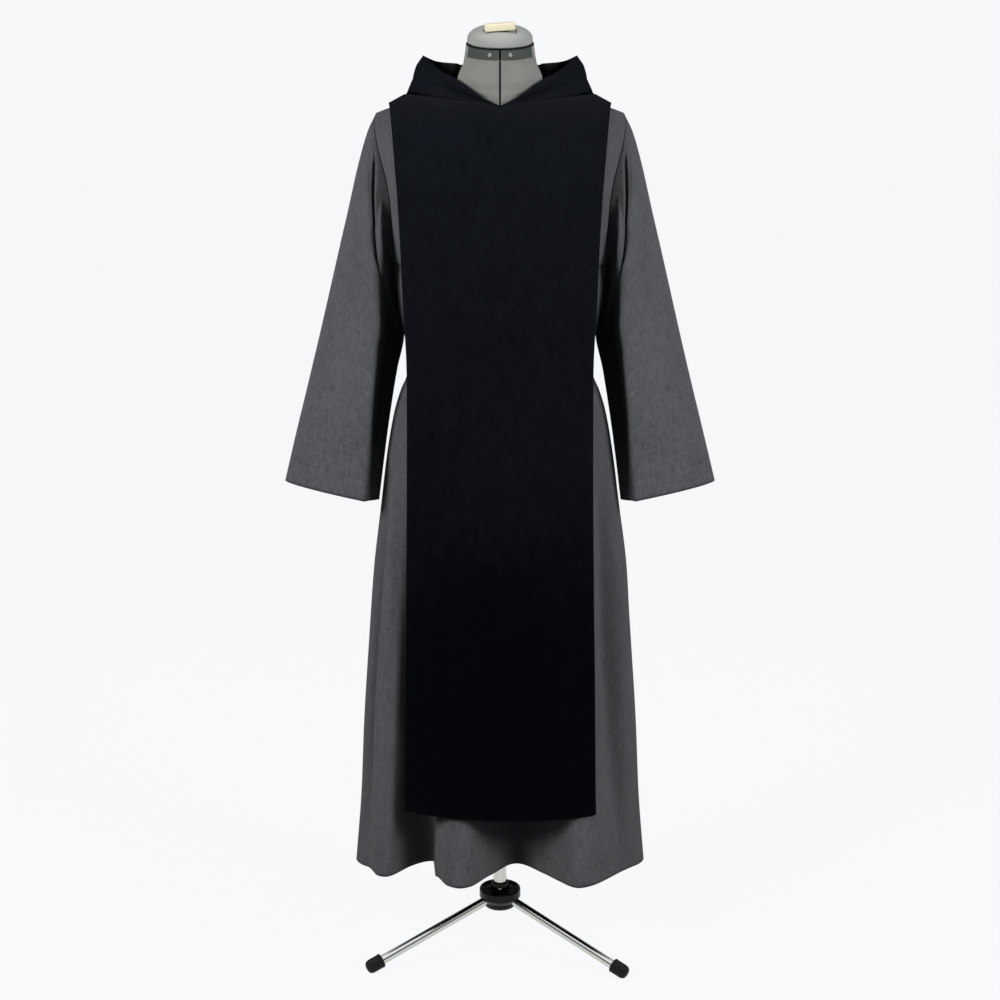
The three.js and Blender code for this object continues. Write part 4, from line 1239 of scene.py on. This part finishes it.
# %% The hood's sizes
HOOD_EDGE = table(
    "round x y z",
    (0.00, 1, -81, 1573),
    (0.12, 31, -67, 1588),
    (0.24, 53, -54, 1603),
    (0.34, 74, -35, 1617),
    (0.44, 99, -10, 1630),
    (0.54, 133, 12, 1657),
    (0.64, 113, 44, 1648),
    (0.75, 89, 72, 1643),
    (0.87, 52, 94, 1641),
    (1.00, 0, 104, 1640),
)
HOOD_POUCH = table(
    "round share across down off bulge",
    (0.50, 0.0, 0.71, 0.02, 4, 3),
    (0.58, 0.3, 0.70, 0.14, 6, 6),
    (0.68, 1.0, 0.70, 0.56, 12, 16),
    (0.78, 1.0, 0.60, 0.94, 15, 26),
    (0.89, 1.0, 0.36, 1.05, 16, 34),
    (1.00, 1.0, 0.00, 1.08, 16, 38),
)
HOOD_TIP = 0.54
HOOD_TURN = 0.46
HOOD_CLEAR = 4
HOOD_ROLL = dict(up=0.16, width=0.12, out=16, sag=9, start=0.08, fade=(0.34, 0.54))
HOOD_TUCK = dict(width=0.05, back=6, down=3)
HOOD_PLEAT = dict(part=0.735, up=1.0, spread=0.045, height=0.20, inward=38)
HOOD_SIZE = HOOD_WIDTH, HOOD_HEIGHT = (330, 330)
HOOD_GRID = (90, 80)
HOOD_STAND = 50
HOOD_STITCH = 12
ROLL_SHADE = (8, 14)
MIDDLE_PRESSED = 2
CALM_TURN = 3.0
NEARBY = 0.01

hood_edge = lines(HOOD_EDGE, "round")
hood_pouch = lines(HOOD_POUCH, "round")
print("the hood's tips are", hood_edge["z"](HOOD_TIP), "mm above the floor")


# %% The pouch behind the neck
def neckline_across(part):
    """Where on the scapular's neckline a place round the hood is sewn."""
    share = part / HOOD_TIP if part <= HOOD_TIP else (1 - part) / (1 - HOOD_TIP)
    return share * SCAPULAR_NECK_SHARE


def over_scapular_back(across, down, out):
    """A place on the scapular's back, moved out from it."""

    def spot(right, low):
        return Vector(scapular_point(BACK, across + right, max(0.0, down + low)))

    sideways = spot(NEARBY, 0) - spot(-NEARBY, 0)
    downward = spot(0, NEARBY) - spot(0, -NEARBY)
    return spot(0, 0) + sideways.cross(downward).normalized() * out


def lying_behind(part, up, edge, pouch):
    """The pouch: down over the scapular's back, and then up again to the free edge."""
    if up <= HOOD_TURN:
        t = up / HOOD_TURN
        along = math.sin(t * RIGHT_ANGLE)
        out = mix(HOOD_CLEAR, pouch["off"], t * t) * min(1, t * 4)
        across = mix(neckline_across(part), pouch["across"], along)
        lying = over_scapular_back(across, pouch["down"] * along, out)
        lying.z += SEAM * (1 - t)
        return lying
    t = (up - HOOD_TURN) / (1 - HOOD_TURN)
    low = over_scapular_back(pouch["across"], pouch["down"], pouch["off"])
    lying = low.lerp(edge, t)
    lying.z = mix(low.z, edge.z, 1 - math.cos(t * RIGHT_ANGLE))
    return lying


# %% The hood's surface
def bell(value, middle, width):
    return math.exp(-(((value - middle) / width) ** 2))


def rolled(point, part, up, pouch):
    """The pouch's swell, the collar's roll over its seam with a tuck below it, and a pleat."""
    swell = math.sin(math.pi * hold((up - HOOD_TURN) / (1 - HOOD_TURN), 0, 1))
    point += Vector((point.x * 0.5, point.y, 0)).normalized() * pouch["bulge"] * swell
    front = min(1, part / HOOD_ROLL["start"]) * (1 - smooth(part, *HOOD_ROLL["fade"]))
    front *= 1 - pouch["share"]
    roll = bell(up, HOOD_ROLL["up"], HOOD_ROLL["width"]) * front
    forward = Vector((point.x * 0.45, -abs(point.y) - 30, 0)).normalized()
    point += forward * HOOD_ROLL["out"] * roll
    point.z -= HOOD_ROLL["sag"] * roll
    tuck = bell(up, 0, HOOD_TUCK["width"]) * front
    point += Vector((0, HOOD_TUCK["back"], -HOOD_TUCK["down"])) * tuck
    pleat = bell(part, HOOD_PLEAT["part"], HOOD_PLEAT["spread"])
    pleat *= bell(up, HOOD_PLEAT["up"], HOOD_PLEAT["height"])
    return point + Vector((-0.5, -0.8, 0)) * HOOD_PLEAT["inward"] * pleat


def hood_point(side, part, up):
    """A place on one half: part runs from throat to back, and up from the seam to the edge."""
    seam = Vector(scapular_top(FRONT if part <= HOOD_TIP else BACK, neckline_across(part)))
    seam.z += SEAM
    edge = Vector([hood_edge[axis](part) for axis in "xyz"])
    pouch = {name: value(part) for name, value in hood_pouch.items()}
    point = seam.lerp(edge, up)
    if pouch["share"] > 0:
        point = point.lerp(lying_behind(part, up, edge, pouch), pouch["share"])
    point = rolled(point, part, up, pouch)
    if part in (0.0, 1.0):
        point.x = SEAM / 2
    return Vector((side * point.x, point.y, point.z))


# %% The hood's two halves
HOOD_CREASES = crease_table(
    (20, 60, 120, 150, 12, -2.0),
    (200, 60, 250, 300, 14, 2.0),
    (260, 200, 280, 320, 12, -2.0),
    (150, 180, 190, 320, 10, 1.5),
)


def make_hood(word, side):
    def place(across, down):
        return hood_point(side, (across + 1) / 2, down)

    def lift(across, down):
        x, y = (across + 1) / 2 * HOOD_WIDTH, down * HOOD_HEIGHT
        creases = crease_lift(HOOD_CREASES, x, y) + unevenness(x, y, 12.0 + side)
        return creases * math.sin(down * CALM_TURN)

    def edges(across, down):
        part = (across + 1) / 2
        neckline = down * mix(HOOD_STAND, HOOD_HEIGHT, smooth(part, 0.4, 0.7))
        middle = min(part, 1 - part) * HOOD_WIDTH + MIDDLE_PRESSED
        # Painted shade on the underside of the collar's roll, near its seam.
        depth = 1 - smooth(neckline, *ROLL_SHADE) if part < HOOD_TIP else 0
        hem = (1 - down) * HOOD_HEIGHT + HEM_STITCH / MM - HOOD_STITCH
        return min(neckline, middle), hem, depth

    bm = grid_skin(HOOD_GRID, HOOD_SIZE, place, edges, lift, flip=side == LEFT)
    woollens = [HOOD_WOOL, HOOD_INSIDE]
    cloth(bm, f"hood_{word}", woollens)


for word, side in SIDES.items():
    make_hood(word, side)


# %% [markdown]
# ## The dress form
#
# The form is padded and covered tightly, so it's one smooth skin. It is a grid bent round, with a
# narrow gap down the front of its neck, painted near-black as painted shade. A band of metal closes
# the top of the neck, and its top edge is painted near-black as the shadow under the cap's lip.

# %% The form's sizes
FORM_SECTIONS = table(
    "z side front back square",
    (830, 150, 96, 92, 2.3),
    (850, 160, 103, 99, 2.3),
    (950, 158, 100, 102, 2.3),
    (1040, 146, 92, 94, 2.3),
    (1120, 136, 87, 86, 2.3),
    (1250, 150, 101, 92, 2.3),
    (1350, 164, 112, 100, 2.3),
    (1437, 172, 112, 100, 2.2),
    (1500, 186, 97, 90, 2.1),
    (1540, 199, 70, 72, 2),
    (1556, 195, 61, 60, 1.8),
    (1566, 180, 58, 55, 1.5),
    (1574, 148, 53, 53, 1.2),
    (1583, 89, 54.8, 53.6, 1.47),
    (1588, 73.7, 55.6, 54.6, 1.6),
    (1596, 73, 55, 56, 1.9),
    (1614, 74, 57, 60, 2),
    (1629, 70, 57, 60, 2),
    (1645, 63, 57, 59, 2),
    (1660, 60.5, 57, 58, 2),
    (1677.5, 58.2, 56.8, 56.8, 2),
)
FORM_BOTTOM = 830
FORM_SIZE = (900, 850)
FORM_GRID = (121, 150)
ARMPIT_Z = 1500
TRUNK_ROWS = 0.35
TILT_FROM = 1614
CAP_Z = 1677.5
CAP_TILT = math.radians(12)
NECK_GAP = dict(width=3, depth=9, bottom=1560, narrow_from=1556, share=1.2, strip=0.2)
BAND_BOTTOM, BAND_TOP = 1657.5, 1676.3
# The band's metal, and the near-black of painted shade.
BAND, PAINTED_SHADE = 1, 2
POLE = dict(radius=12, bottom=102, top=890, socket=13)

form_size = lines(FORM_SECTIONS, "z")


# %% The form's surface
def form_point(turn, z, out=0.0):
    """A place on the form, by the turn from its front towards the wearer's left."""
    power = 2 / form_size["square"](z)
    depth = -form_size["front"](z) - out if math.cos(turn) > 0 else form_size["back"](z) + out
    x = sign(math.sin(turn)) * (form_size["side"](z) + out) * abs(math.sin(turn)) ** power
    y = depth * abs(math.cos(turn)) ** power
    lean = hold((z - TILT_FROM) / (CAP_Z - TILT_FROM), 0, 1)
    return x, y, z + y * math.tan(CAP_TILT) * lean


# %% Faces and edges of an open shape
def verts_in(items):
    return [item for item in items if isinstance(item, bmesh.types.BMVert)]


def open_edges(bm):
    return [edge for edge in bm.edges if edge.is_boundary]


def pulled(bm, edges):
    """Draws new faces from these edges, and gives all that is new."""
    return bmesh.ops.extrude_edge_only(bm, edges=edges)["geom"]


def close(bm):
    """Fills what is still open, and turns every face outwards."""
    bmesh.ops.holes_fill(bm, edges=open_edges(bm), sides=0)
    bmesh.ops.recalc_face_normals(bm, faces=bm.faces)


# %% The form's rows, its neck's gap and its socket
def form_height(down):
    """The height of a row: more rows for the shoulders and the neck than for the trunk."""
    if down > 1 - TRUNK_ROWS:
        return mix(ARMPIT_Z, FORM_BOTTOM, (down - 1 + TRUNK_ROWS) / TRUNK_ROWS)
    return mix(CAP_Z, ARMPIT_Z, down / (1 - TRUNK_ROWS))


def sink_gap(bm):
    """Pushes the narrow strip down the front of the neck inwards, and gives its new vertices."""
    bottom = at(0, 0, NECK_GAP["bottom"]).z
    strip = []
    for face in bm.faces:
        middle = face.calc_center_median()
        in_middle = abs(middle.x - AXIS.x) < NECK_GAP["strip"] * MM
        if in_middle and middle.y < AXIS.y and middle.z > bottom:
            strip.append(face)
    sunk = verts_in(bmesh.ops.extrude_face_region(bm, geom=strip)["geom"])
    bmesh.ops.delete(bm, geom=strip, context="FACES")
    bmesh.ops.translate(bm, verts=sunk, vec=(0, NECK_GAP["depth"] * MM, 0))
    return set(sunk)


def bore_socket(bm):
    """Closes the form's underside round the pole, and goes up into it as the pole's socket."""
    underside = at(0, 0, FORM_BOTTOM + 10).z
    ring = pulled(bm, [edge for edge in open_edges(bm) if edge.verts[0].co.z < underside])
    for vert in verts_in(ring):
        turn = math.atan2(vert.co.y - AXIS.y, vert.co.x - AXIS.x)
        vert.co.x = AXIS.x + POLE["socket"] * MM * math.cos(turn)
        vert.co.y = AXIS.y + POLE["socket"] * MM * math.sin(turn)
    bore = pulled(bm, [item for item in ring if isinstance(item, bmesh.types.BMEdge)])
    rise = (POLE["top"] + SEAM - FORM_BOTTOM) * MM
    bmesh.ops.translate(bm, verts=verts_in(bore), vec=(0, 0, rise))


# %% The form's skin
def make_form():
    def place(across, down):
        z = form_height(down)
        x, y, real_z = form_point(across * math.pi, z)
        if abs(across) < NECK_GAP["share"] / FORM_GRID[0] and z > NECK_GAP["narrow_from"]:
            x = sign(across) * NECK_GAP["width"] / 2
        return x, y, real_z

    bm = grid_skin(FORM_GRID, FORM_SIZE, place, tube=True)
    uv = bm.loops.layers.uv["cloth"]
    for face in bm.faces:
        up = sum(loop[uv].uv.y for loop in face.loops) / len(face.loops) / (FORM_SIZE[1] * MM)
        # Above the band's top the faces get painted shade, for the shadow under the cap's lip.
        if form_height(1 - up) > BAND_BOTTOM:
            face.material_index = PAINTED_SHADE if form_height(1 - up) > BAND_TOP else BAND
    sunk = sink_gap(bm)
    # The sunk gap's faces are painted near-black, as painted shade.
    for face in bm.faces:
        if any(vert in sunk for vert in face.verts):
            face.material_index = PAINTED_SHADE
    bore_socket(bm)
    close(bm)
    finish_piece(bm, "dress_form", "skin", [JERSEY, BAND_METAL, GAP_SHADE], "form")


make_form()


# %% [markdown]
# ## The neck's cap
#
# The cap is a turned dome with a rolled rim, so its profile is spun. Its slot is cut by four
# planes, and the faces between them go down to the slot's floor. The handle that lies in it is a
# moulded bar.

# %% Turned shapes
SAME_PLACE = 0.001 * MM
LEANED = Matrix.Translation(at(0, 0, CAP_Z)) @ Matrix.Rotation(CAP_TILT, 4, "X")


def spun(profile, steps=96):
    """A bmesh turned about the Z axis from (radius, height) pairs, in millimetres."""
    bm = bmesh.new()
    verts = [bm.verts.new((radius * MM, 0, height * MM)) for radius, height in profile]
    edges = [bm.edges.new(pair) for pair in zip(verts, verts[1:])]
    bmesh.ops.spin(
        bm, geom=verts + edges, cent=(0, 0, 0), axis=(0, 0, 1), angle=math.tau, steps=steps,
        use_merge=True, use_duplicate=False,
    )
    bmesh.ops.remove_doubles(bm, verts=bm.verts, dist=SAME_PLACE)
    bmesh.ops.recalc_face_normals(bm, faces=bm.faces)
    return bm


# %% Cutting, rounding and placing
def cut(bm, place, normal, **settings):
    """Cuts every face along a plane."""
    geometry = bm.verts[:] + bm.edges[:] + bm.faces[:]
    bmesh.ops.bisect_plane(bm, geom=geometry, plane_co=place, plane_no=normal, **settings)


def bevelled(bm, width, degrees=35, segments=2):
    """Rounds every edge that is sharper than this."""
    limit = math.radians(degrees)
    sharp = [edge for edge in bm.edges if edge.is_manifold and edge.calc_face_angle() > limit]
    bmesh.ops.bevel(
        bm, geom=sharp, offset=width * MM, offset_type="OFFSET", segments=segments, profile=0.5,
        affect="EDGES", material=-1, clamp_overlap=True,
    )


def placed(bm, matrix):
    bmesh.ops.transform(bm, matrix=matrix, verts=bm.verts)


def laid_along(bm, start, end):
    """Takes a shape from the Z axis to a line between two places."""
    turn = (end - start).to_track_quat("Z", "Y").to_matrix().to_4x4()
    placed(bm, Matrix.Translation(at(*start)) @ turn)


# %% The cap and its slot
CAP = dict(radius=56.5, seat=53, lip=1.8, rim=5, height=30.5, square=2.35)
SLOT = dict(length=58, width=18, floor=24, at=-30)


def cap_profile():
    """The flat underside, the rolled rim and the dome, from the middle of one to the other."""
    r, seat, lip, rim = CAP["radius"], CAP["seat"], CAP["lip"], CAP["rim"]
    power, steps = 2 / CAP["square"], 32
    profile = [(0, SEAM), (seat, SEAM), (seat + 0.5, lip), (r - 0.9, lip), (r - 0.25, lip + 0.3)]
    profile.append((r, lip + 0.9))
    for step in range(steps):
        turn = step / steps * RIGHT_ANGLE
        high = (CAP["height"] - rim) * math.sin(turn) ** power
        profile.append((r * math.cos(turn) ** power, rim + high))
    return profile + [(0, CAP["height"])]


def make_cap():
    bm = spun(cap_profile())
    long, wide, middle = SLOT["length"] / 2 * MM, SLOT["width"] / 2 * MM, SLOT["at"] * MM
    for x in (long, -long):
        cut(bm, (x, 0, 0), (1, 0, 0))
    for y in (middle + wide, middle - wide):
        cut(bm, (0, y, 0), (0, 1, 0))
    lid = []
    for face in bm.faces:
        centre = face.calc_center_median()
        above = centre.z > SLOT["floor"] / 2 * MM
        if above and abs(centre.x) < long and abs(centre.y - middle) < wide:
            lid.append(face)
    bmesh.ops.delete(bm, geom=lid, context="FACES")
    for vert in verts_in(pulled(bm, open_edges(bm))):
        vert.co.z = min(vert.co.z, SLOT["floor"] * MM)
    bmesh.ops.remove_doubles(bm, verts=bm.verts, dist=SAME_PLACE)
    close(bm)
    placed(bm, LEANED)
    finish_piece(bm, "neck_cap", "dome", [CAP_LACQUER], "form", sharp=32)


make_cap()


# %% The cap's handle
HANDLE = dict(length=53, width=14, height=13, roll=4, taper=0.96, round=2.6)


def make_handle():
    bm = bmesh.new()
    bmesh.ops.create_cube(bm, size=1.0)
    sides = [HANDLE[side] * MM for side in ("length", "width", "height")]
    bmesh.ops.scale(bm, verts=bm.verts, vec=sides)
    for vert in bm.verts:
        if vert.co.z < 0:
            vert.co.x *= HANDLE["taper"]
    bevelled(bm, HANDLE["round"], segments=5)
    roll = math.radians(HANDLE["roll"])
    high = SLOT["floor"] + SEAM + HANDLE["height"] / 2 + HANDLE["length"] / 2 * math.sin(roll)
    centre = Matrix.Translation((0, SLOT["at"] * MM, high * MM))
    placed(bm, LEANED @ centre @ Matrix.Rotation(-roll, 4, "Y"))
    finish_piece(bm, "cap_handle", "bar", [CREAM], "form")


make_handle()


# %% [markdown]
# ## Neck plates and rivets
#
# Two thin curved plates close the front of the neck, one on each side of the gap, and each is
# held by a rivet. A plate is a small grid laid on the form and given a thickness.

# %% Plates and rivets
PLATE = dict(start=1.6, end=62, top=1676.5, bottom=1657.5, wall=2, outside=2.6)
PLATE_SIZE = (50, 20)
PLATE_GRID = (26, 6)
RIVET = dict(turn=16, z=1666.5, radius=3.7, length=3)
RIVET_HEAD = ((0, 0), (1, 0), (1, 0.3), (0.9, 0.66), (0.6, 0.92), (0, 1))


def make_plate(word, side):
    def place(across, down):
        turn = math.radians(mix(PLATE["start"], PLATE["end"], (across + 1) / 2)) * side
        return form_point(turn, mix(PLATE["top"], PLATE["bottom"], down), PLATE["outside"])

    bm = grid_skin(PLATE_GRID, PLATE_SIZE, place, flip=side == RIGHT)
    bmesh.ops.solidify(bm, geom=bm.faces[:], thickness=PLATE["wall"] * MM)
    bmesh.ops.recalc_face_normals(bm, faces=bm.faces)
    bevelled(bm, 0.5, degrees=60)
    finish_piece(bm, f"neck_plate_{word}", "metal", [PLATE_METAL], "form", sharp=40)


def make_rivet(word, side):
    bm = spun([(r * RIVET["radius"], high * RIVET["length"]) for r, high in RIVET_HEAD], steps=40)
    turn = math.radians(RIVET["turn"]) * side
    inner = Vector(form_point(turn, RIVET["z"], PLATE["outside"] + SEAM))
    laid_along(bm, inner, inner + Vector((inner.x, inner.y, 0)))
    finish_piece(bm, f"rivet_{word}", "head", [BAND_METAL], "form")


for word, side in SIDES.items():
    make_plate(word, side)
    make_rivet(word, side)


# %% [markdown]
# ## The stand
#
# A chrome pole stands in a gloss black hub, and three chrome legs run down from the hub to rubber
# feet. All of them are turned shapes. A leg is turned upright and then laid along its slope, and
# a foot is cut flat where it meets the floor.

# %% The stand's sizes
HUB = dict(radius=39, top=114, foot=31, bottom=78, collar=16, collar_top=127)
SCREW = dict(radius=3, length=5, z=119)
LEG = dict(radius=8.5, root=15, root_z=97.5, end=264, end_z=14.5, turn=-2.5, rings=24)
FOOT = dict(radius=13.5, start=247, end=278, depth=13.7)
LEG_TURNS = dict(left=60, right=-60, back=182.5)
SHARP = 30


# %% Pole, hub and screw
def make_pole():
    r, low, high = POLE["radius"], POLE["bottom"], POLE["top"]
    bm = spun([
        (0, low), (r - 0.8, low), (r, low + 0.8), (r, high - 0.8), (r - 0.8, high), (0, high),
    ], steps=64)
    placed(bm, Matrix.Translation(AXIS))
    finish_piece(bm, "pole", "tube", [CHROME], "stand", SHARP)


def make_hub():
    r, foot, low, top = HUB["radius"], HUB["foot"], HUB["bottom"], HUB["top"]
    collar, collar_top = HUB["collar"], HUB["collar_top"]
    socket, socket_z = POLE["radius"] + SEAM, POLE["bottom"] - SEAM
    bm = spun([
        (0, low), (foot - 3, low), (foot, low + 3), (foot + 1, 89), (r - 2, 95), (r, 98),
        (r, top - 2), (r - 1.5, top), (r - 4, top), (31, 108), (collar + 3, 108), (collar, 111),
        (collar, collar_top - 1), (collar - 1, collar_top), (socket, collar_top),
        (socket, socket_z), (0, socket_z),
    ])
    bevelled(bm, 0.6)
    placed(bm, Matrix.Translation(AXIS))
    finish_piece(bm, "hub", "dish", [GLOSS_BLACK], "stand", SHARP)


def make_screw():
    r, long = SCREW["radius"], SCREW["length"]
    bm = spun([
        (0, 0), (r, 0), (r, long - 1), (r - 1, long), (r * 0.45, long), (r * 0.4, long - 1.5),
        (0, long - 1.5),
    ], steps=40)
    start = Vector((0, -HUB["collar"] - SEAM, SCREW["z"]))
    laid_along(bm, start, start - Vector((0, long, 0)))
    finish_piece(bm, "hub_screw", "head", [CHROME], "stand", SHARP)


# %% Legs and feet
def leg_point(word, reach):
    """A place on a leg's axis, by its distance from the pole's axis."""
    turn = math.radians(LEG_TURNS[word] + LEG["turn"])
    t = (reach - LEG["root"]) / (LEG["end"] - LEG["root"])
    z = mix(LEG["root_z"], LEG["end_z"], t)
    return Vector((reach * math.sin(turn), -reach * math.cos(turn), z))


def make_leg(word):
    start, end = leg_point(word, LEG["root"]), leg_point(word, LEG["end"])
    r, long, rings = LEG["radius"], (end - start).length, LEG["rings"]
    tube = [(r, mix(0.6, long - 0.6, step / rings)) for step in range(rings + 1)]
    bm = spun([(0, 0), (r - 0.6, 0), *tube, (r - 0.6, long), (0, long)], steps=56)
    laid_along(bm, start, end)
    finish_piece(bm, f"leg_{word}", "tube", [CHROME], "stand", SHARP)


def make_foot(word):
    start, end = leg_point(word, FOOT["start"]), leg_point(word, FOOT["end"])
    r, long, bore = FOOT["radius"], (end - start).length, LEG["radius"] + SEAM
    bottom = long - FOOT["depth"]
    bm = spun([
        (bore, 0.4), (bore + 0.8, 0), (r - 1.8, 0), (r - 0.5, 0.8), (r, 2.4), (r, 3.6),
        (r - 0.7, 4.6), (r - 0.4, 7), (r - 0.5, long - 9), (r - 1.8, long - 4.5),
        (r - 4.4, long - 1.6), (r - 8, long - 0.3), (0, long), (0, bottom), (bore, bottom),
        (bore, 0.4),
    ], steps=56)
    laid_along(bm, start, end)
    cut(bm, (0, 0, 0), (0, 0, -1), clear_outer=True)
    close(bm)
    finish_piece(bm, f"foot_{word}", "cup", [RUBBER], "stand", sharp=35)


make_pole()
make_hub()
make_screw()
for word in LEG_TURNS:
    make_leg(word)
    make_foot(word)


# %% [markdown]
# ## Sizes and the end
#
# The visual model keeps to the size of the imported model, so both boxes are printed.

# %% Sizes
low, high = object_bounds()
sizes = {"cad": [list(CAD_LOW), list(CAD_HIGH)], "visual": [list(low), list(high)]}
for model, box in sizes.items():
    print("the", model, "model's box:", [[round(value, 4) for value in corner] for corner in box])
